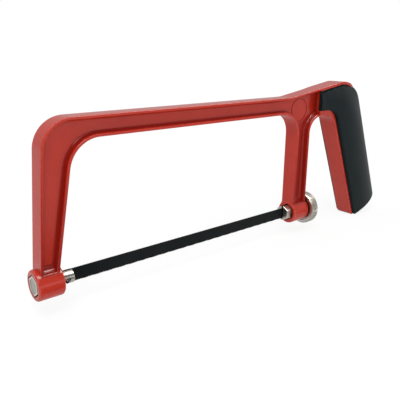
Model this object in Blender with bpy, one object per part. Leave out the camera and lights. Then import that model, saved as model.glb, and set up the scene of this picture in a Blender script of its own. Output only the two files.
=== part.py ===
"""Mini hacksaw: a cast bow frame with a rubber grip, which holds a pinned blade between two
hexagonal blade holders and draws it tight with a thumb nut.

Lengths are in metres. The saw is laid out from the front boss: X runs along the blade's axis
towards the handle, Y across the saw and Z up. The whole saw then stands on its lowest point.
"""

import math

import bmesh
import bpy
from mathutils import Matrix, Vector

MM = 0.001

# Fits
GAP = 0.3 * MM
ARC_STEP = math.radians(7.5)
ROUND_SIDES = 48
SHARP_ANGLE = math.radians(30.0)
PAST = 2.0 * MM

# Blade and its two pins
PIN_SPACING = 150.0 * MM
BLADE_HEIGHT = 6.5 * MM
BLADE_THICKNESS = 0.65 * MM
BLADE_PAST_PIN = 3.0 * MM
PIN_DIAMETER = 2.0 * MM
PIN_LENGTH = 5.6 * MM
FRONT_PIN_X = 14.7 * MM

# Front blade holder: a hexagonal head let into the boss, and a slotted nose
HEAD_ACROSS_FLATS = 9.0 * MM
HEAD_LENGTH = 6.5 * MM
HEAD_TURN = math.radians(9.0)
NOSE_DIAMETER = 6.4 * MM
NOSE_PAST_PIN = 3.1 * MM

# Rear blade holder: a hexagonal slider with a threaded stud
SLIDER_ACROSS_FLATS = 9.6 * MM
SLIDER_LENGTH = 11.5 * MM
SLIDER_PAST_PIN = 4.0 * MM
SLIDER_REACH = 4.3 * MM
STUD_DIAMETER = 5.0 * MM
STUD_PAST_NUT = 2.6 * MM
NOTCH_LEAN = math.radians(30.0)

# Thumb nut
NUT_DIAMETER = 20.4 * MM
NUT_LENGTH = 5.7 * MM
NUT_CHAMFER = 0.7 * MM

# Bosses at the two ends of the blade
BOSS_DIAMETER = 14.4 * MM
FRONT_BOSS_LENGTH = 11.5 * MM
REAR_BOSS_LENGTH = 13.3 * MM
BOSS_ROUND = 1.2 * MM
BOSS_ROUND_STEPS = 3

# Bow: arm, beam and post, with a rim around a recessed web
BOW_THICKNESS = 9.8 * MM
WEB_THICKNESS = 3.2 * MM
RIM = 1.4 * MM
RIM_DRAFT = 1.9 * MM
THROAT_HEIGHT = 62.6 * MM
BEAM_HEIGHT = 9.7 * MM
ARM_FOOT_X = 1.25 * MM
ARM_FOOT_WIDTH = 8.1 * MM
ARM_OUTER_LEAN = math.radians(4.9)
ARM_INNER_LEAN = math.radians(10.5)
ARM_OUTER_RADIUS = 14.5 * MM
THROAT_FRONT_RADIUS = 15.0 * MM
THROAT_REAR_RADIUS = 12.5 * MM
POST_INSET = 0.4 * MM
POST_WIDTH = 11.4 * MM

# Handle: a raked casting with a rubber grip around its back
HANDLE_RAKE = math.radians(23.0)
HANDLE_THICKNESS = 11.6 * MM
HANDLE_DEPTH = 31.7 * MM
HANDLE_LENGTH = 84.3 * MM
HANDLE_RISE = 7.35 * MM
RISE_LEAD = 7.4 * MM
BROW_SETBACK = 7.9 * MM
RISE_RADIUS = 30.0 * MM
BROW_RADIUS = 8.0 * MM
HEEL_RADIUS = 27.0 * MM
BUTT_RADIUS = 3.0 * MM
FINGER_GAP = 19.8 * MM
ARCH_DROP = 2.8 * MM
ARCH_POST_RADIUS = 10.0 * MM
ARCH_HANDLE_RADIUS = 7.0 * MM
WIDEN_LENGTH = 10.0 * MM
CORE_THICKNESS = 7.8 * MM
CORE_SETBACK = 7.5 * MM
CORE_DEPTH = 21.5 * MM
TOP_FLANGE = 1.6 * MM
SEAT_STEP = 0.2 * MM
ARCH_FLANGE = 2.9 * MM
FRONT_FLANGE = 1.2 * MM
CAP_LENGTH = 18.3 * MM
GRIP_WIDTH = 18.2 * MM
GRIP_BELLY = 13.0 * MM
TAPER_HEIGHT = 12.0 * MM
TAPER_STEPS = 11

# Places that follow from the sizes above
REAR_PIN_X = FRONT_PIN_X + PIN_SPACING
NOSE_END_X = FRONT_PIN_X + NOSE_PAST_PIN
SLIDER_FRONT_X = REAR_PIN_X - SLIDER_PAST_PIN
REAR_BOSS_X = SLIDER_FRONT_X + SLIDER_REACH
REAR_BOSS_END_X = REAR_BOSS_X + REAR_BOSS_LENGTH
NUT_X = REAR_BOSS_END_X + GAP
POST_FRONT_X = REAR_BOSS_X + POST_INSET
POST_BACK_X = POST_FRONT_X + POST_WIDTH
BEAM_TOP = THROAT_HEIGHT + BEAM_HEIGHT
HANDLE_TOP = BEAM_TOP + HANDLE_RISE
ARCH_TOP = THROAT_HEIGHT - ARCH_DROP
CORE_FRONT_X = POST_BACK_X + CORE_SETBACK
CAP_HALF_WIDTH = HANDLE_THICKNESS / 2 + GAP
BLADE_SLOT = BLADE_THICKNESS + 2 * GAP

# Handle axes seen from the side: across runs back from the finger face, down runs to the butt
ACROSS = Vector((math.cos(HANDLE_RAKE), math.sin(HANDLE_RAKE)))
DOWN = Vector((math.sin(HANDLE_RAKE), -math.cos(HANDLE_RAKE)))
HANDLE_START = Vector((POST_BACK_X + FINGER_GAP, THROAT_HEIGHT))
RISE_X = POST_FRONT_X - RISE_LEAD
BROW_X = HANDLE_START.x + BROW_SETBACK

# The heel's arc reaches this far along the top for each unit of its radius, and stops at the brow
HEEL_TURN = math.tan((math.pi / 2 - HANDLE_RAKE) / 2)
HEEL_X = HANDLE_START.x + (HANDLE_DEPTH - (HANDLE_TOP - THROAT_HEIGHT) * ACROSS.y) / ACROSS.x
BROW_END_X = BROW_X + BROW_RADIUS * math.tan(math.atan2(HANDLE_RISE, BROW_X - RISE_X) / 2)
HEEL_ROUND = min(HEEL_RADIUS, (HEEL_X - BROW_END_X) / HEEL_TURN)


def clear_scene():
    for old in list(bpy.data.objects):
        bpy.data.objects.remove(old, do_unlink=True)


def material(name, colour, roughness, metallic):
    finish = bpy.data.materials.new(name)
    finish.use_nodes = True
    shader = finish.node_tree.nodes["Principled BSDF"]
    shader.inputs["Base Color"].default_value = (*colour, 1.0)
    shader.inputs["Roughness"].default_value = roughness
    shader.inputs["Metallic"].default_value = metallic
    return finish


# Outlines seen from the side: lists of corners, each (point, radius)


def on_handle(across, down):
    """Side-view point at a depth behind the finger face and a distance down the handle."""
    return HANDLE_START + ACROSS * across + DOWN * down


def handle_at_height(across, height):
    """Side-view point at a depth behind the finger face and a height above the blade."""
    start = on_handle(across, 0.0)
    return start + DOWN * ((height - start.y) / DOWN.y)


def arm_edge(foot_x, lean, height):
    return Vector((foot_x + math.tan(lean) * height, height))


def meet(edge_a, edge_b):
    """Point where two edges, each a (start, end) pair, cross."""
    p, q = edge_a[0], edge_b[0]
    u, v = edge_a[1] - p, edge_b[1] - q
    turn = u.x * v.y - u.y * v.x
    if abs(turn) < 1e-9 * u.length * v.length:
        return edge_a[1]
    step = ((q - p).x * v.y - (q - p).y * v.x) / turn
    return p + u * step


def inset_corners(corners, distance):
    """The same outline, drawn in by a distance. Corners run clockwise."""
    count = len(corners)
    edges = []
    for k in range(count):
        start, end = corners[k][0], corners[(k + 1) % count][0]
        along = (end - start).normalized()
        inward = Vector((along.y, -along.x)) * distance
        edges.append((start + inward, end + inward))
    drawn_in = []
    for k in range(count):
        before, after = edges[k - 1], edges[k]
        u, v = before[1] - before[0], after[1] - after[0]
        bulges = u.x * v.y - u.y * v.x < 0
        radius = corners[k][1]
        if radius > 0:
            radius = radius - distance if bulges else radius + distance
        drawn_in.append((meet(before, after), max(radius, 0.0)))
    return drawn_in


def rounded(corners):
    """Points of a closed outline, with an arc at each corner that has a radius."""
    points = []
    count = len(corners)
    for k in range(count):
        corner, radius = corners[k]
        before, after = corners[k - 1][0], corners[(k + 1) % count][0]
        if radius == 0:
            points.append(corner)
            continue
        u, v = (corner - before).normalized(), (after - corner).normalized()
        turn = math.atan2(u.x * v.y - u.y * v.x, u.dot(v))
        reach = radius * math.tan(abs(turn) / 2)
        start = corner - u * reach
        side = Vector((-u.y, u.x)) * math.copysign(radius, turn)
        centre = start + side
        steps = max(1, math.ceil(abs(turn) / ARC_STEP))
        for step in range(steps + 1):
            points.append(centre + Matrix.Rotation(turn * step / steps, 2) @ -side)
    return points


def top_corners(below, left_x):
    """The handle's top line drawn in by a distance: corners at left_x, the brow and the heel."""
    corners = [
        (Vector((RISE_X, BEAM_TOP)), 0.0),
        (Vector((BROW_X, HANDLE_TOP)), BROW_RADIUS),
        (Vector((HEEL_X, HANDLE_TOP)), HEEL_ROUND),
        (on_handle(HANDLE_DEPTH, HANDLE_LENGTH), 0.0),
        (on_handle(0.0, HANDLE_LENGTH), 0.0),
    ]
    rise, brow, heel = inset_corners(corners, below)[:3]
    left_edge = (Vector((left_x, 0.0)), Vector((left_x, HANDLE_TOP)))
    return [(meet((rise[0], brow[0]), left_edge), 0.0), brow, heel]


def arch_corners():
    """The arch over the finger gap, from the handle to the post."""
    return [
        (handle_at_height(0.0, ARCH_TOP), ARCH_HANDLE_RADIUS),
        (Vector((POST_BACK_X, ARCH_TOP)), ARCH_POST_RADIUS),
    ]


def throat_corners():
    arm_inner_x = ARM_FOOT_X + ARM_FOOT_WIDTH
    return [
        (Vector((POST_FRONT_X, THROAT_HEIGHT)), THROAT_REAR_RADIUS),
        (arm_edge(arm_inner_x, ARM_INNER_LEAN, THROAT_HEIGHT), THROAT_FRONT_RADIUS),
    ]


def bow_top_corners():
    return [
        (arm_edge(ARM_FOOT_X, ARM_OUTER_LEAN, 0.0), 0.0),
        (arm_edge(ARM_FOOT_X, ARM_OUTER_LEAN, BEAM_TOP), ARM_OUTER_RADIUS),
        (Vector((RISE_X, BEAM_TOP)), RISE_RADIUS),
    ]


def feet_corners():
    return [
        (Vector((POST_BACK_X, 0.0)), 0.0),
        (Vector((POST_FRONT_X, 0.0)), 0.0),
    ]


def lip_corners(below, past_arc):
    """Under the lip that the top flange turns over the heel: heel, inner tip and beyond the tip."""
    tip = Vector((HEEL_X, HANDLE_TOP)) + DOWN * (HEEL_ROUND * HEEL_TURN + past_arc)
    heel = top_corners(below, CORE_FRONT_X)[2]
    return [heel, (tip - ACROSS * below, 0.0), (tip + ACROSS * PAST, 0.0)]


def core_back(clearance):
    """Back edge of the casting's core, from where the heel's arc starts to past the butt."""
    heel, radius = top_corners(TOP_FLANGE + SEAT_STEP, CORE_FRONT_X)[2]
    top = heel - Vector((radius * HEEL_TURN + GAP, 0.0))
    bottom = on_handle(CORE_DEPTH, HANDLE_LENGTH + PAST)
    return top + ACROSS * clearance, bottom + ACROSS * clearance


def casting_outline():
    """Clockwise outline of the casting, with the handle at its full depth."""
    corners = bow_top_corners()
    corners += top_corners(0.0, POST_BACK_X)[1:]
    corners += [
        (on_handle(HANDLE_DEPTH, HANDLE_LENGTH), BUTT_RADIUS),
        (on_handle(0.0, HANDLE_LENGTH), BUTT_RADIUS),
    ]
    corners += arch_corners() + feet_corners() + throat_corners()
    corners.append((arm_edge(ARM_FOOT_X + ARM_FOOT_WIDTH, ARM_INNER_LEAN, 0.0), 0.0))
    return corners


def recess_region():
    """Clockwise outline of the bow as far as the handle's core; the recess is inset from it."""
    end_x = CORE_FRONT_X + RIM
    corners = bow_top_corners()
    corners += [top_corners(0.0, end_x)[0], (Vector((end_x, ARCH_TOP)), 0.0)]
    corners += arch_corners()[1:] + feet_corners() + throat_corners()
    corners.append((arm_edge(ARM_FOOT_X + ARM_FOOT_WIDTH, ARM_INNER_LEAN, 0.0), 0.0))
    return corners


def grip_region():
    """Clockwise outline of the grip behind the flanges of the handle, up to the handle's top."""
    front = FRONT_FLANGE + GAP
    floor = ARCH_TOP + ARCH_FLANGE + GAP
    left_x = CORE_FRONT_X + GAP
    corners = [(Vector((left_x, floor)), 0.0)]
    corners += top_corners(0.0, left_x)
    corners += [
        (on_handle(HANDLE_DEPTH, HANDLE_LENGTH), BUTT_RADIUS),
        (on_handle(front, HANDLE_LENGTH), max(BUTT_RADIUS - front, 0.0)),
        (handle_at_height(front, floor), max(ARCH_HANDLE_RADIUS - front, 0.0)),
    ]
    return corners


# Solids


def new_object(name, mesh_builder, finish=None):
    bmesh.ops.recalc_face_normals(mesh_builder, faces=mesh_builder.faces)
    mesh = bpy.data.meshes.new(name)
    mesh_builder.to_mesh(mesh)
    mesh_builder.free()
    made = bpy.data.objects.new(name, mesh)
    bpy.context.collection.objects.link(made)
    if finish is None:
        made.hide_render = True
        made.display_type = "WIRE"
    else:
        mesh.materials.append(finish)
        mesh.shade_smooth()
        mesh.set_sharp_from_angle(angle=SHARP_ANGLE)
    return made


def layered(levels, place):
    """Solid through outlines of equal length; place(point, level) gives each 3-D position."""
    solid = bmesh.new()
    first_points, first_level = levels[0]
    ring = [solid.verts.new(place(p, first_level)) for p in first_points]
    face = solid.faces.new(ring)
    for points, level in levels[1:]:
        grown = bmesh.ops.extrude_discrete_faces(solid, faces=[face])
        face = grown["faces"][0]
        for vert, point in zip(face.verts, points):
            vert.co = place(point, level)
    solid.faces.new([vert for vert in reversed(ring)])
    return solid


def across_y(point, level):
    return Vector((point.x, level, point.y))


def along_x(point, level):
    return Vector((level, point.x, point.y))


def along_z(point, level):
    return Vector((point.x, point.y, level))


def plate(points, low_y, high_y):
    return layered([(points, low_y), (points, high_y)], across_y)


def polygon(radius, sides, turn=0.0):
    spin = math.tau / sides
    return [Vector((radius * math.cos(turn + k * spin), radius * math.sin(turn + k * spin)))
            for k in range(sides)]


def bar(points, low_x, high_x):
    return layered([(points, low_x), (points, high_x)], along_x)


def hexagon(across_flats, turn=0.0):
    return polygon(across_flats / math.sqrt(3), 6, math.pi / 2 + turn)


def circle(diameter):
    return polygon(diameter / 2, ROUND_SIDES, math.pi / ROUND_SIDES)


def add_box(solid, low, high):
    size = Vector(high) - Vector(low)
    middle = (Vector(high) + Vector(low)) / 2
    place = Matrix.Translation(middle) @ Matrix.Diagonal((*size, 1.0))
    bmesh.ops.create_cube(solid, size=1.0, matrix=place)


def combine(target, other, operation):
    step = target.modifiers.new(other.name, "BOOLEAN")
    step.operation = operation
    step.object = other
    step.solver = "EXACT"


def cut(target, name, solid):
    combine(target, new_object(name, solid), "DIFFERENCE")


def fuse(target, name, solid):
    combine(target, new_object(name, solid), "UNION")


# Casting


def widened(x):
    """Half thickness of the casting: the bow's, growing to the handle's behind the post."""
    share = min(max((x - POST_BACK_X) / WIDEN_LENGTH, 0.0), 1.0)
    return (BOW_THICKNESS + share * (HANDLE_THICKNESS - BOW_THICKNESS)) / 2


def casting_body():
    half = BOW_THICKNESS / 2
    body = plate(rounded(casting_outline()), -half, half)
    for x in (POST_BACK_X, POST_BACK_X + WIDEN_LENGTH):
        everything = body.verts[:] + body.edges[:] + body.faces[:]
        bmesh.ops.bisect_plane(body, geom=everything, plane_co=(x, 0, 0), plane_no=(1, 0, 0))
    for vert in body.verts:
        vert.co.y = math.copysign(widened(vert.co.x), vert.co.y)
    return body


def recess(side):
    """One side's recess: rim outline at the face, drawn in by the draft down to the web."""
    region = recess_region()
    face = rounded(inset_corners(region, RIM))
    floor = rounded(inset_corners(region, RIM + RIM_DRAFT))
    levels = [
        (floor, side * WEB_THICKNESS / 2),
        (face, side * BOW_THICKNESS / 2),
        (face, side * (HANDLE_THICKNESS / 2 + PAST)),
    ]
    return layered(levels, across_y)


def grip_pocket(side):
    """One side's seat for the grip, under the top flange and behind the finger face."""
    left_x = CORE_FRONT_X - PAST
    floor = ARCH_TOP + ARCH_FLANGE
    bottom = HANDLE_LENGTH + PAST
    corners = [(Vector((left_x, floor)), 0.0)]
    corners += top_corners(TOP_FLANGE, left_x)[:2] + lip_corners(TOP_FLANGE, GAP)
    corners += [
        (on_handle(HANDLE_DEPTH + PAST, bottom), 0.0),
        (on_handle(FRONT_FLANGE, bottom), 0.0),
        (handle_at_height(FRONT_FLANGE, floor), max(ARCH_HANDLE_RADIUS - FRONT_FLANGE, 0.0)),
    ]
    return plate(rounded(corners), side * CORE_THICKNESS / 2, side * GRIP_WIDTH)


def back_space():
    """What the casting's core leaves to the grip behind it, a step below the flange's sides."""
    top, bottom = core_back(0.0)
    corners = [(bottom, 0.0), (top, 0.0)] + lip_corners(TOP_FLANGE + SEAT_STEP, 2 * GAP)
    corners.append((on_handle(HANDLE_DEPTH + PAST, HANDLE_LENGTH + PAST), 0.0))
    half = CORE_THICKNESS / 2 + GAP
    return plate(rounded(corners), -half, half)


def cap_outline(clearance):
    """Outline from above of the top flange's round end, from its one side to the other."""
    start_x = handle_at_height(GRIP_BELLY, HANDLE_TOP).x
    length, half = CAP_LENGTH + clearance, CAP_HALF_WIDTH + clearance
    steps = math.ceil(math.pi / ARC_STEP)
    turns = [math.pi * k / steps for k in range(steps + 1)]
    return [Vector((start_x + length * math.sin(a), half * math.cos(a))) for a in turns]


def beyond_cap():
    """What the top flange's round end leaves out, seen from above."""
    points = cap_outline(0.0)
    far_x = points[0].x + CAP_LENGTH + HANDLE_DEPTH
    points += [Vector((points[0].x, -GRIP_WIDTH)), Vector((far_x, -GRIP_WIDTH)),
               Vector((far_x, GRIP_WIDTH)), Vector((points[0].x, GRIP_WIDTH))]
    low = lip_corners(TOP_FLANGE, PAST)[1][0].y
    return layered([(points, low), (points, HANDLE_TOP + PAST)], along_z)


def boss(low_x, length):
    solid = bar(circle(BOSS_DIAMETER), low_x, low_x + length)
    ends = [edge for edge in solid.edges if abs(edge.verts[0].co.x - edge.verts[1].co.x) < GAP]
    bmesh.ops.bevel(solid, geom=ends, offset=BOSS_ROUND, offset_type="OFFSET",
                    segments=BOSS_ROUND_STEPS, profile=0.5, affect="EDGES", material=-1)
    return solid


def make_frame(finish):
    frame = new_object("frame", casting_body(), finish)
    for side, hand in ((-1, "left"), (1, "right")):
        cut(frame, f"recess_{hand}", recess(side))
        cut(frame, f"grip_pocket_{hand}", grip_pocket(side))
    cut(frame, "back_space", back_space())
    cut(frame, "beyond_cap", beyond_cap())
    fuse(frame, "front_boss", boss(0.0, FRONT_BOSS_LENGTH))
    fuse(frame, "rear_boss", boss(REAR_BOSS_X, REAR_BOSS_LENGTH))
    head_hole = hexagon(HEAD_ACROSS_FLATS + 2 * GAP, HEAD_TURN)
    cut(frame, "head_hole", bar(head_hole, -PAST, HEAD_LENGTH + GAP))
    nose_hole = circle(NOSE_DIAMETER + 2 * GAP)
    cut(frame, "nose_hole", bar(nose_hole, 0.0, FRONT_BOSS_LENGTH + PAST))
    slider_hole = hexagon(SLIDER_ACROSS_FLATS + 2 * GAP)
    slider_end = SLIDER_FRONT_X + SLIDER_LENGTH + GAP
    cut(frame, "slider_hole", bar(slider_hole, REAR_BOSS_X - PAST, slider_end))
    stud_hole = circle(STUD_DIAMETER + 2 * GAP)
    cut(frame, "stud_hole", bar(stud_hole, REAR_BOSS_X, REAR_BOSS_END_X + PAST))
    return frame


# Grip


def grip_form():
    """Long bar of the handle's section: an oval behind a flat face, drawn in towards the top."""
    half_depth, half_width = HANDLE_DEPTH - GRIP_BELLY, GRIP_WIDTH / 2
    face_half = HANDLE_THICKNESS / 2
    open_angle = math.pi - math.asin(face_half / half_width)
    steps = math.ceil(2 * open_angle / ARC_STEP)
    section = [Vector((-HANDLE_DEPTH, face_half))]
    for k in range(steps + 1):
        angle = open_angle * (1 - 2 * k / steps)
        section.append(Vector((GRIP_BELLY + half_depth * math.cos(angle), half_width * math.sin(angle))))
    section.append(Vector((-HANDLE_DEPTH, -face_half)))
    taper_top = HANDLE_TOP - TOP_FLANGE - SEAT_STEP - GAP

    def place(point, level):
        spot = on_handle(point.x, level)
        share = min(max((taper_top - spot.y) / TAPER_HEIGHT, 0.0), 1.0)
        widest = face_half + (half_width - face_half) * math.sin(share * math.pi / 2)
        half = abs(point.y) * widest / half_width
        if point.x < GRIP_BELLY:
            half = max(half, face_half)
        return Vector((spot.x, math.copysign(half, point.y), spot.y))

    first = (taper_top - HANDLE_START.y) / DOWN.y
    last = (taper_top - TAPER_HEIGHT - on_handle(HANDLE_DEPTH, 0.0).y) / DOWN.y
    levels = [(section, -HANDLE_LENGTH)]
    for k in range(TAPER_STEPS + 1):
        levels.append((section, first + (last - first) * k / TAPER_STEPS))
    levels.append((section, 2 * HANDLE_LENGTH))
    form = layered(levels, place)
    bmesh.ops.triangulate(form, faces=form.faces)
    return form


def grip_core():
    """Space that the casting's core takes inside the grip."""
    top, bottom = core_back(GAP)
    corners = [
        (on_handle(-HANDLE_DEPTH, -HANDLE_LENGTH), 0.0),
        (top + (top - bottom), 0.0),
        (bottom + (bottom - top), 0.0),
        (on_handle(-HANDLE_DEPTH, 2 * HANDLE_LENGTH), 0.0),
    ]
    half = CORE_THICKNESS / 2 + GAP
    return plate(rounded(corners), -half, half)


def cap_space():
    """Space of the top flange over the grip, with its clearance."""
    below = TOP_FLANGE + SEAT_STEP + GAP
    start_x = CORE_FRONT_X - PAST
    start, brow = top_corners(below, start_x)[:2]
    heel, inner_tip, outer_tip = lip_corners(below, 3 * GAP)
    top = HANDLE_TOP + PAST
    corners = [
        (Vector((start_x, top)), 0.0),
        (Vector((outer_tip[0].x, top)), 0.0),
        outer_tip,
        inner_tip,
        heel,
        brow,
        start,
    ]
    return plate(rounded(corners), -GRIP_WIDTH, GRIP_WIDTH)


def cap_plan():
    """What the top flange covers from above, with its clearance."""
    points = cap_outline(GAP)
    start_x = CORE_FRONT_X - 2 * PAST
    points += [Vector((points[0].x, -GRIP_WIDTH)), Vector((start_x, -GRIP_WIDTH)),
               Vector((start_x, GRIP_WIDTH)), Vector((points[0].x, GRIP_WIDTH))]
    return layered([(points, 0.0), (points, HANDLE_TOP + 2 * PAST)], along_z)


def make_grip(finish):
    grip = new_object("grip", plate(rounded(grip_region()), -GRIP_WIDTH, GRIP_WIDTH), finish)
    combine(grip, new_object("grip_form", grip_form()), "INTERSECT")
    cut(grip, "grip_core", grip_core())
    flange = new_object("cap_space", cap_space())
    combine(flange, new_object("cap_plan", cap_plan()), "INTERSECT")
    combine(grip, flange, "DIFFERENCE")
    return grip


# Blade, holders and nut


def notch(pin_x, lean):
    """Slanted slot that a blade pin drops into, open below."""
    width = PIN_DIAMETER + 2 * GAP
    way = Vector((math.sin(lean), -math.cos(lean)))
    beside = Vector((way.y, -way.x)) * width / 2
    pin = Vector((pin_x, 0.0))
    mouth = pin + way * SLIDER_ACROSS_FLATS
    steps = math.ceil(math.pi / ARC_STEP)
    points = [mouth + beside]
    for k in range(steps + 1):
        points.append(pin + Matrix.Rotation(-math.pi * k / steps, 2) @ beside)
    points.append(mouth - beside)
    return plate(points, -SLIDER_ACROSS_FLATS, SLIDER_ACROSS_FLATS)


def blade_slot(low_x, high_x):
    slot = bmesh.new()
    half = BLADE_SLOT / 2
    add_box(slot, (low_x, -half, -SLIDER_ACROSS_FLATS), (high_x, half, SLIDER_ACROSS_FLATS))
    return slot


def make_front_holder(finish):
    head = bar(hexagon(HEAD_ACROSS_FLATS, HEAD_TURN), 0.0, HEAD_LENGTH)
    holder = new_object("front_blade_holder", head, finish)
    fuse(holder, "nose", bar(circle(NOSE_DIAMETER), HEAD_LENGTH - PAST, NOSE_END_X))
    slot_start = FRONT_PIN_X - BLADE_PAST_PIN - GAP
    cut(holder, "nose_slot", blade_slot(slot_start, NOSE_END_X + PAST))
    cut(holder, "nose_notch", notch(FRONT_PIN_X, -NOTCH_LEAN))
    return holder


def make_rear_holder(finish):
    slider_end = SLIDER_FRONT_X + SLIDER_LENGTH
    slider = bar(hexagon(SLIDER_ACROSS_FLATS), SLIDER_FRONT_X, slider_end)
    holder = new_object("rear_blade_holder", slider, finish)
    stud_end = NUT_X + NUT_LENGTH + STUD_PAST_NUT
    fuse(holder, "stud", bar(circle(STUD_DIAMETER), slider_end - PAST, stud_end))
    slot_end = REAR_PIN_X + BLADE_PAST_PIN + GAP
    cut(holder, "slider_slot", blade_slot(SLIDER_FRONT_X - PAST, slot_end))
    cut(holder, "slider_notch", notch(REAR_PIN_X, NOTCH_LEAN))
    return holder


def make_blade(finish):
    low_x, high_x = FRONT_PIN_X - BLADE_PAST_PIN, REAR_PIN_X + BLADE_PAST_PIN
    strip = bmesh.new()
    half_y, half_z = BLADE_THICKNESS / 2, BLADE_HEIGHT / 2
    add_box(strip, (low_x, -half_y, -half_z), (high_x, half_y, half_z))
    blade = new_object("blade", strip, finish)
    for name, pin_x in (("front_pin_hole", FRONT_PIN_X), ("rear_pin_hole", REAR_PIN_X)):
        hole = [p + Vector((pin_x, 0.0)) for p in circle(PIN_DIAMETER + 2 * GAP)]
        cut(blade, name, plate(hole, -PAST, PAST))
    return blade


def make_pin(name, pin_x, finish):
    pin = new_object(name, plate(circle(PIN_DIAMETER), -PIN_LENGTH / 2, PIN_LENGTH / 2), finish)
    pin.location = (pin_x, 0.0, 0.0)
    return pin


def make_thumb_nut(finish):
    """Turned ring with chamfered rims, on the stud behind the rear boss."""
    bore, rim = STUD_DIAMETER / 2 + GAP, NUT_DIAMETER / 2
    profile = [
        (0.0, bore), (0.0, rim - NUT_CHAMFER), (NUT_CHAMFER, rim),
        (NUT_LENGTH - NUT_CHAMFER, rim), (NUT_LENGTH, rim - NUT_CHAMFER), (NUT_LENGTH, bore),
    ]
    ring = bmesh.new()
    loop = [ring.verts.new((x, 0.0, r)) for x, r in profile]
    edges = [ring.edges.new((loop[k - 1], loop[k])) for k in range(len(loop))]
    bmesh.ops.spin(ring, geom=loop + edges, cent=(0, 0, 0), axis=(1, 0, 0), angle=math.tau,
                   steps=ROUND_SIDES, use_merge=True)
    nut = new_object("thumb_nut", ring, finish)
    nut.location = (NUT_X, 0.0, 0.0)
    return nut


def stand_on_lowest_point(pieces):
    """Parent the pieces to an empty that puts the saw's lowest point on the ground, centred."""
    outline = rounded(casting_outline()) + rounded(grip_region())
    back_x = max(point.x for point in outline)
    lowest = min(point.y for point in outline)
    saw = bpy.data.objects.new("saw", None)
    bpy.context.collection.objects.link(saw)
    saw.location = (-back_x / 2, 0.0, -lowest)
    for piece in pieces:
        piece.parent = saw


def main():
    clear_scene()
    paint = material("red_paint", (0.42, 0.018, 0.013), 0.28, 0.0)
    rubber = material("black_rubber", (0.022, 0.028, 0.030), 0.62, 0.0)
    nickel = material("nickel_plate", (0.72, 0.70, 0.65), 0.28, 1.0)
    knurled = material("knurled_nickel", (0.66, 0.64, 0.60), 0.38, 1.0)
    black_steel = material("black_blade_steel", (0.013, 0.013, 0.016), 0.45, 0.0)
    pin_steel = material("pin_steel", (0.60, 0.59, 0.57), 0.35, 1.0)
    make_frame(paint)
    make_grip(rubber)
    make_front_holder(nickel)
    make_rear_holder(nickel)
    make_thumb_nut(knurled)
    make_blade(black_steel)
    make_pin("front_blade_pin", FRONT_PIN_X, pin_steel)
    make_pin("rear_blade_pin", REAR_PIN_X, pin_steel)
    stand_on_lowest_point(list(bpy.data.objects))


main()
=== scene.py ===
"""Looks of a mini hacksaw: a painted cast bow with a rubber grip, and a pinned blade that a knurled
thumb nut draws tight between two plated blade holders.

Shapes are drawn in millimetres in the saw's own frame: X runs along the blade from the face of the
front boss, Y across the saw and Z up from the blade's axis. Each finished mesh is then scaled to
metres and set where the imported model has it.
"""

import math

import bmesh
import bpy
from mathutils import Matrix, Vector


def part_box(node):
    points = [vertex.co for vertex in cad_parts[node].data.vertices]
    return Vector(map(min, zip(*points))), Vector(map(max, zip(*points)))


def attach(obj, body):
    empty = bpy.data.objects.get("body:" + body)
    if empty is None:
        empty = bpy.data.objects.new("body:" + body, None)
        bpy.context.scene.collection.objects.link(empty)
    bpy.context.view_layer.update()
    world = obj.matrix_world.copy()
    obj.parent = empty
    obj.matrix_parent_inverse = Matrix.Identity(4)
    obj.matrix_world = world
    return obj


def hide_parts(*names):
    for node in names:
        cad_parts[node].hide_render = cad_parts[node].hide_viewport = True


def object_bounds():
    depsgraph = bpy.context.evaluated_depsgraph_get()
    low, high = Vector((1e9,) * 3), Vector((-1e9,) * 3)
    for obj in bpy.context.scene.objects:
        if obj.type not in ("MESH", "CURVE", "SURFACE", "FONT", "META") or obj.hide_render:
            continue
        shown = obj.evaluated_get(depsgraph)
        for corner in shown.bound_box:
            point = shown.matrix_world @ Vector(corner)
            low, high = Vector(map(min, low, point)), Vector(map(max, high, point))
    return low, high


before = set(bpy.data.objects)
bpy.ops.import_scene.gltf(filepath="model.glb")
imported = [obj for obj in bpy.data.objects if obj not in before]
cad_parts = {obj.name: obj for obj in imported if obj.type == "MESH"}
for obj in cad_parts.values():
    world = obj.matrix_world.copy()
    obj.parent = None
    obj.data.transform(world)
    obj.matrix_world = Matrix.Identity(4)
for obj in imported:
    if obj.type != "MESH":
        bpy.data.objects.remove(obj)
cad_low, cad_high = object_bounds()

MM = 0.001

# The saw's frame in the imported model: the front holder starts at the boss's face, and the blade's
# middle is on the blade's axis
blade_low, blade_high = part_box("blade")
SAW_ORIGIN = Vector((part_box("front_blade_holder")[0].x, 0.0, (blade_low.z + blade_high.z) / 2))
TO_FRAME = Matrix.Translation(SAW_ORIGIN) @ Matrix.Scale(MM, 4)

# Drawing: a cutter runs PAST what it cuts, and FAR is more than half the saw's width
ARC_STEP = math.radians(4.0)
HEX_SIDES = 6
ROUND_SIDES = 72
PIN_SIDES = 32
STUD_SIDES = 48
MEDALLION_SIDES = 96
CAP_STEPS = 48
EDGE_STEPS = 4
BOSS_STEPS = 5
HEAD_STEPS = 2
SMALL_ROUND_STEPS = 3
WELD = 0.0005
PAST = 2.0
FAR = 18.0
GAP = 0.3
CLOSE_FIT = 0.05
SHARP_ANGLE = math.radians(35.0)

# Marks for the finishes, which take wear and a painted highlight on edges and painted shade in
# hollows:
# how much a worn edge or a hollow bends, the largest faces beside it, and how far down a hollow may
# face
WORN_BEND = (math.radians(15.0), math.radians(50.0))
HOLLOW_BEND = math.radians(6.0)
EDGE_FACE = 30.0
BROAD_FACE = 300.0
ANY_WAY = -2.0
NOT_UNDERNEATH = -0.25

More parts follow.
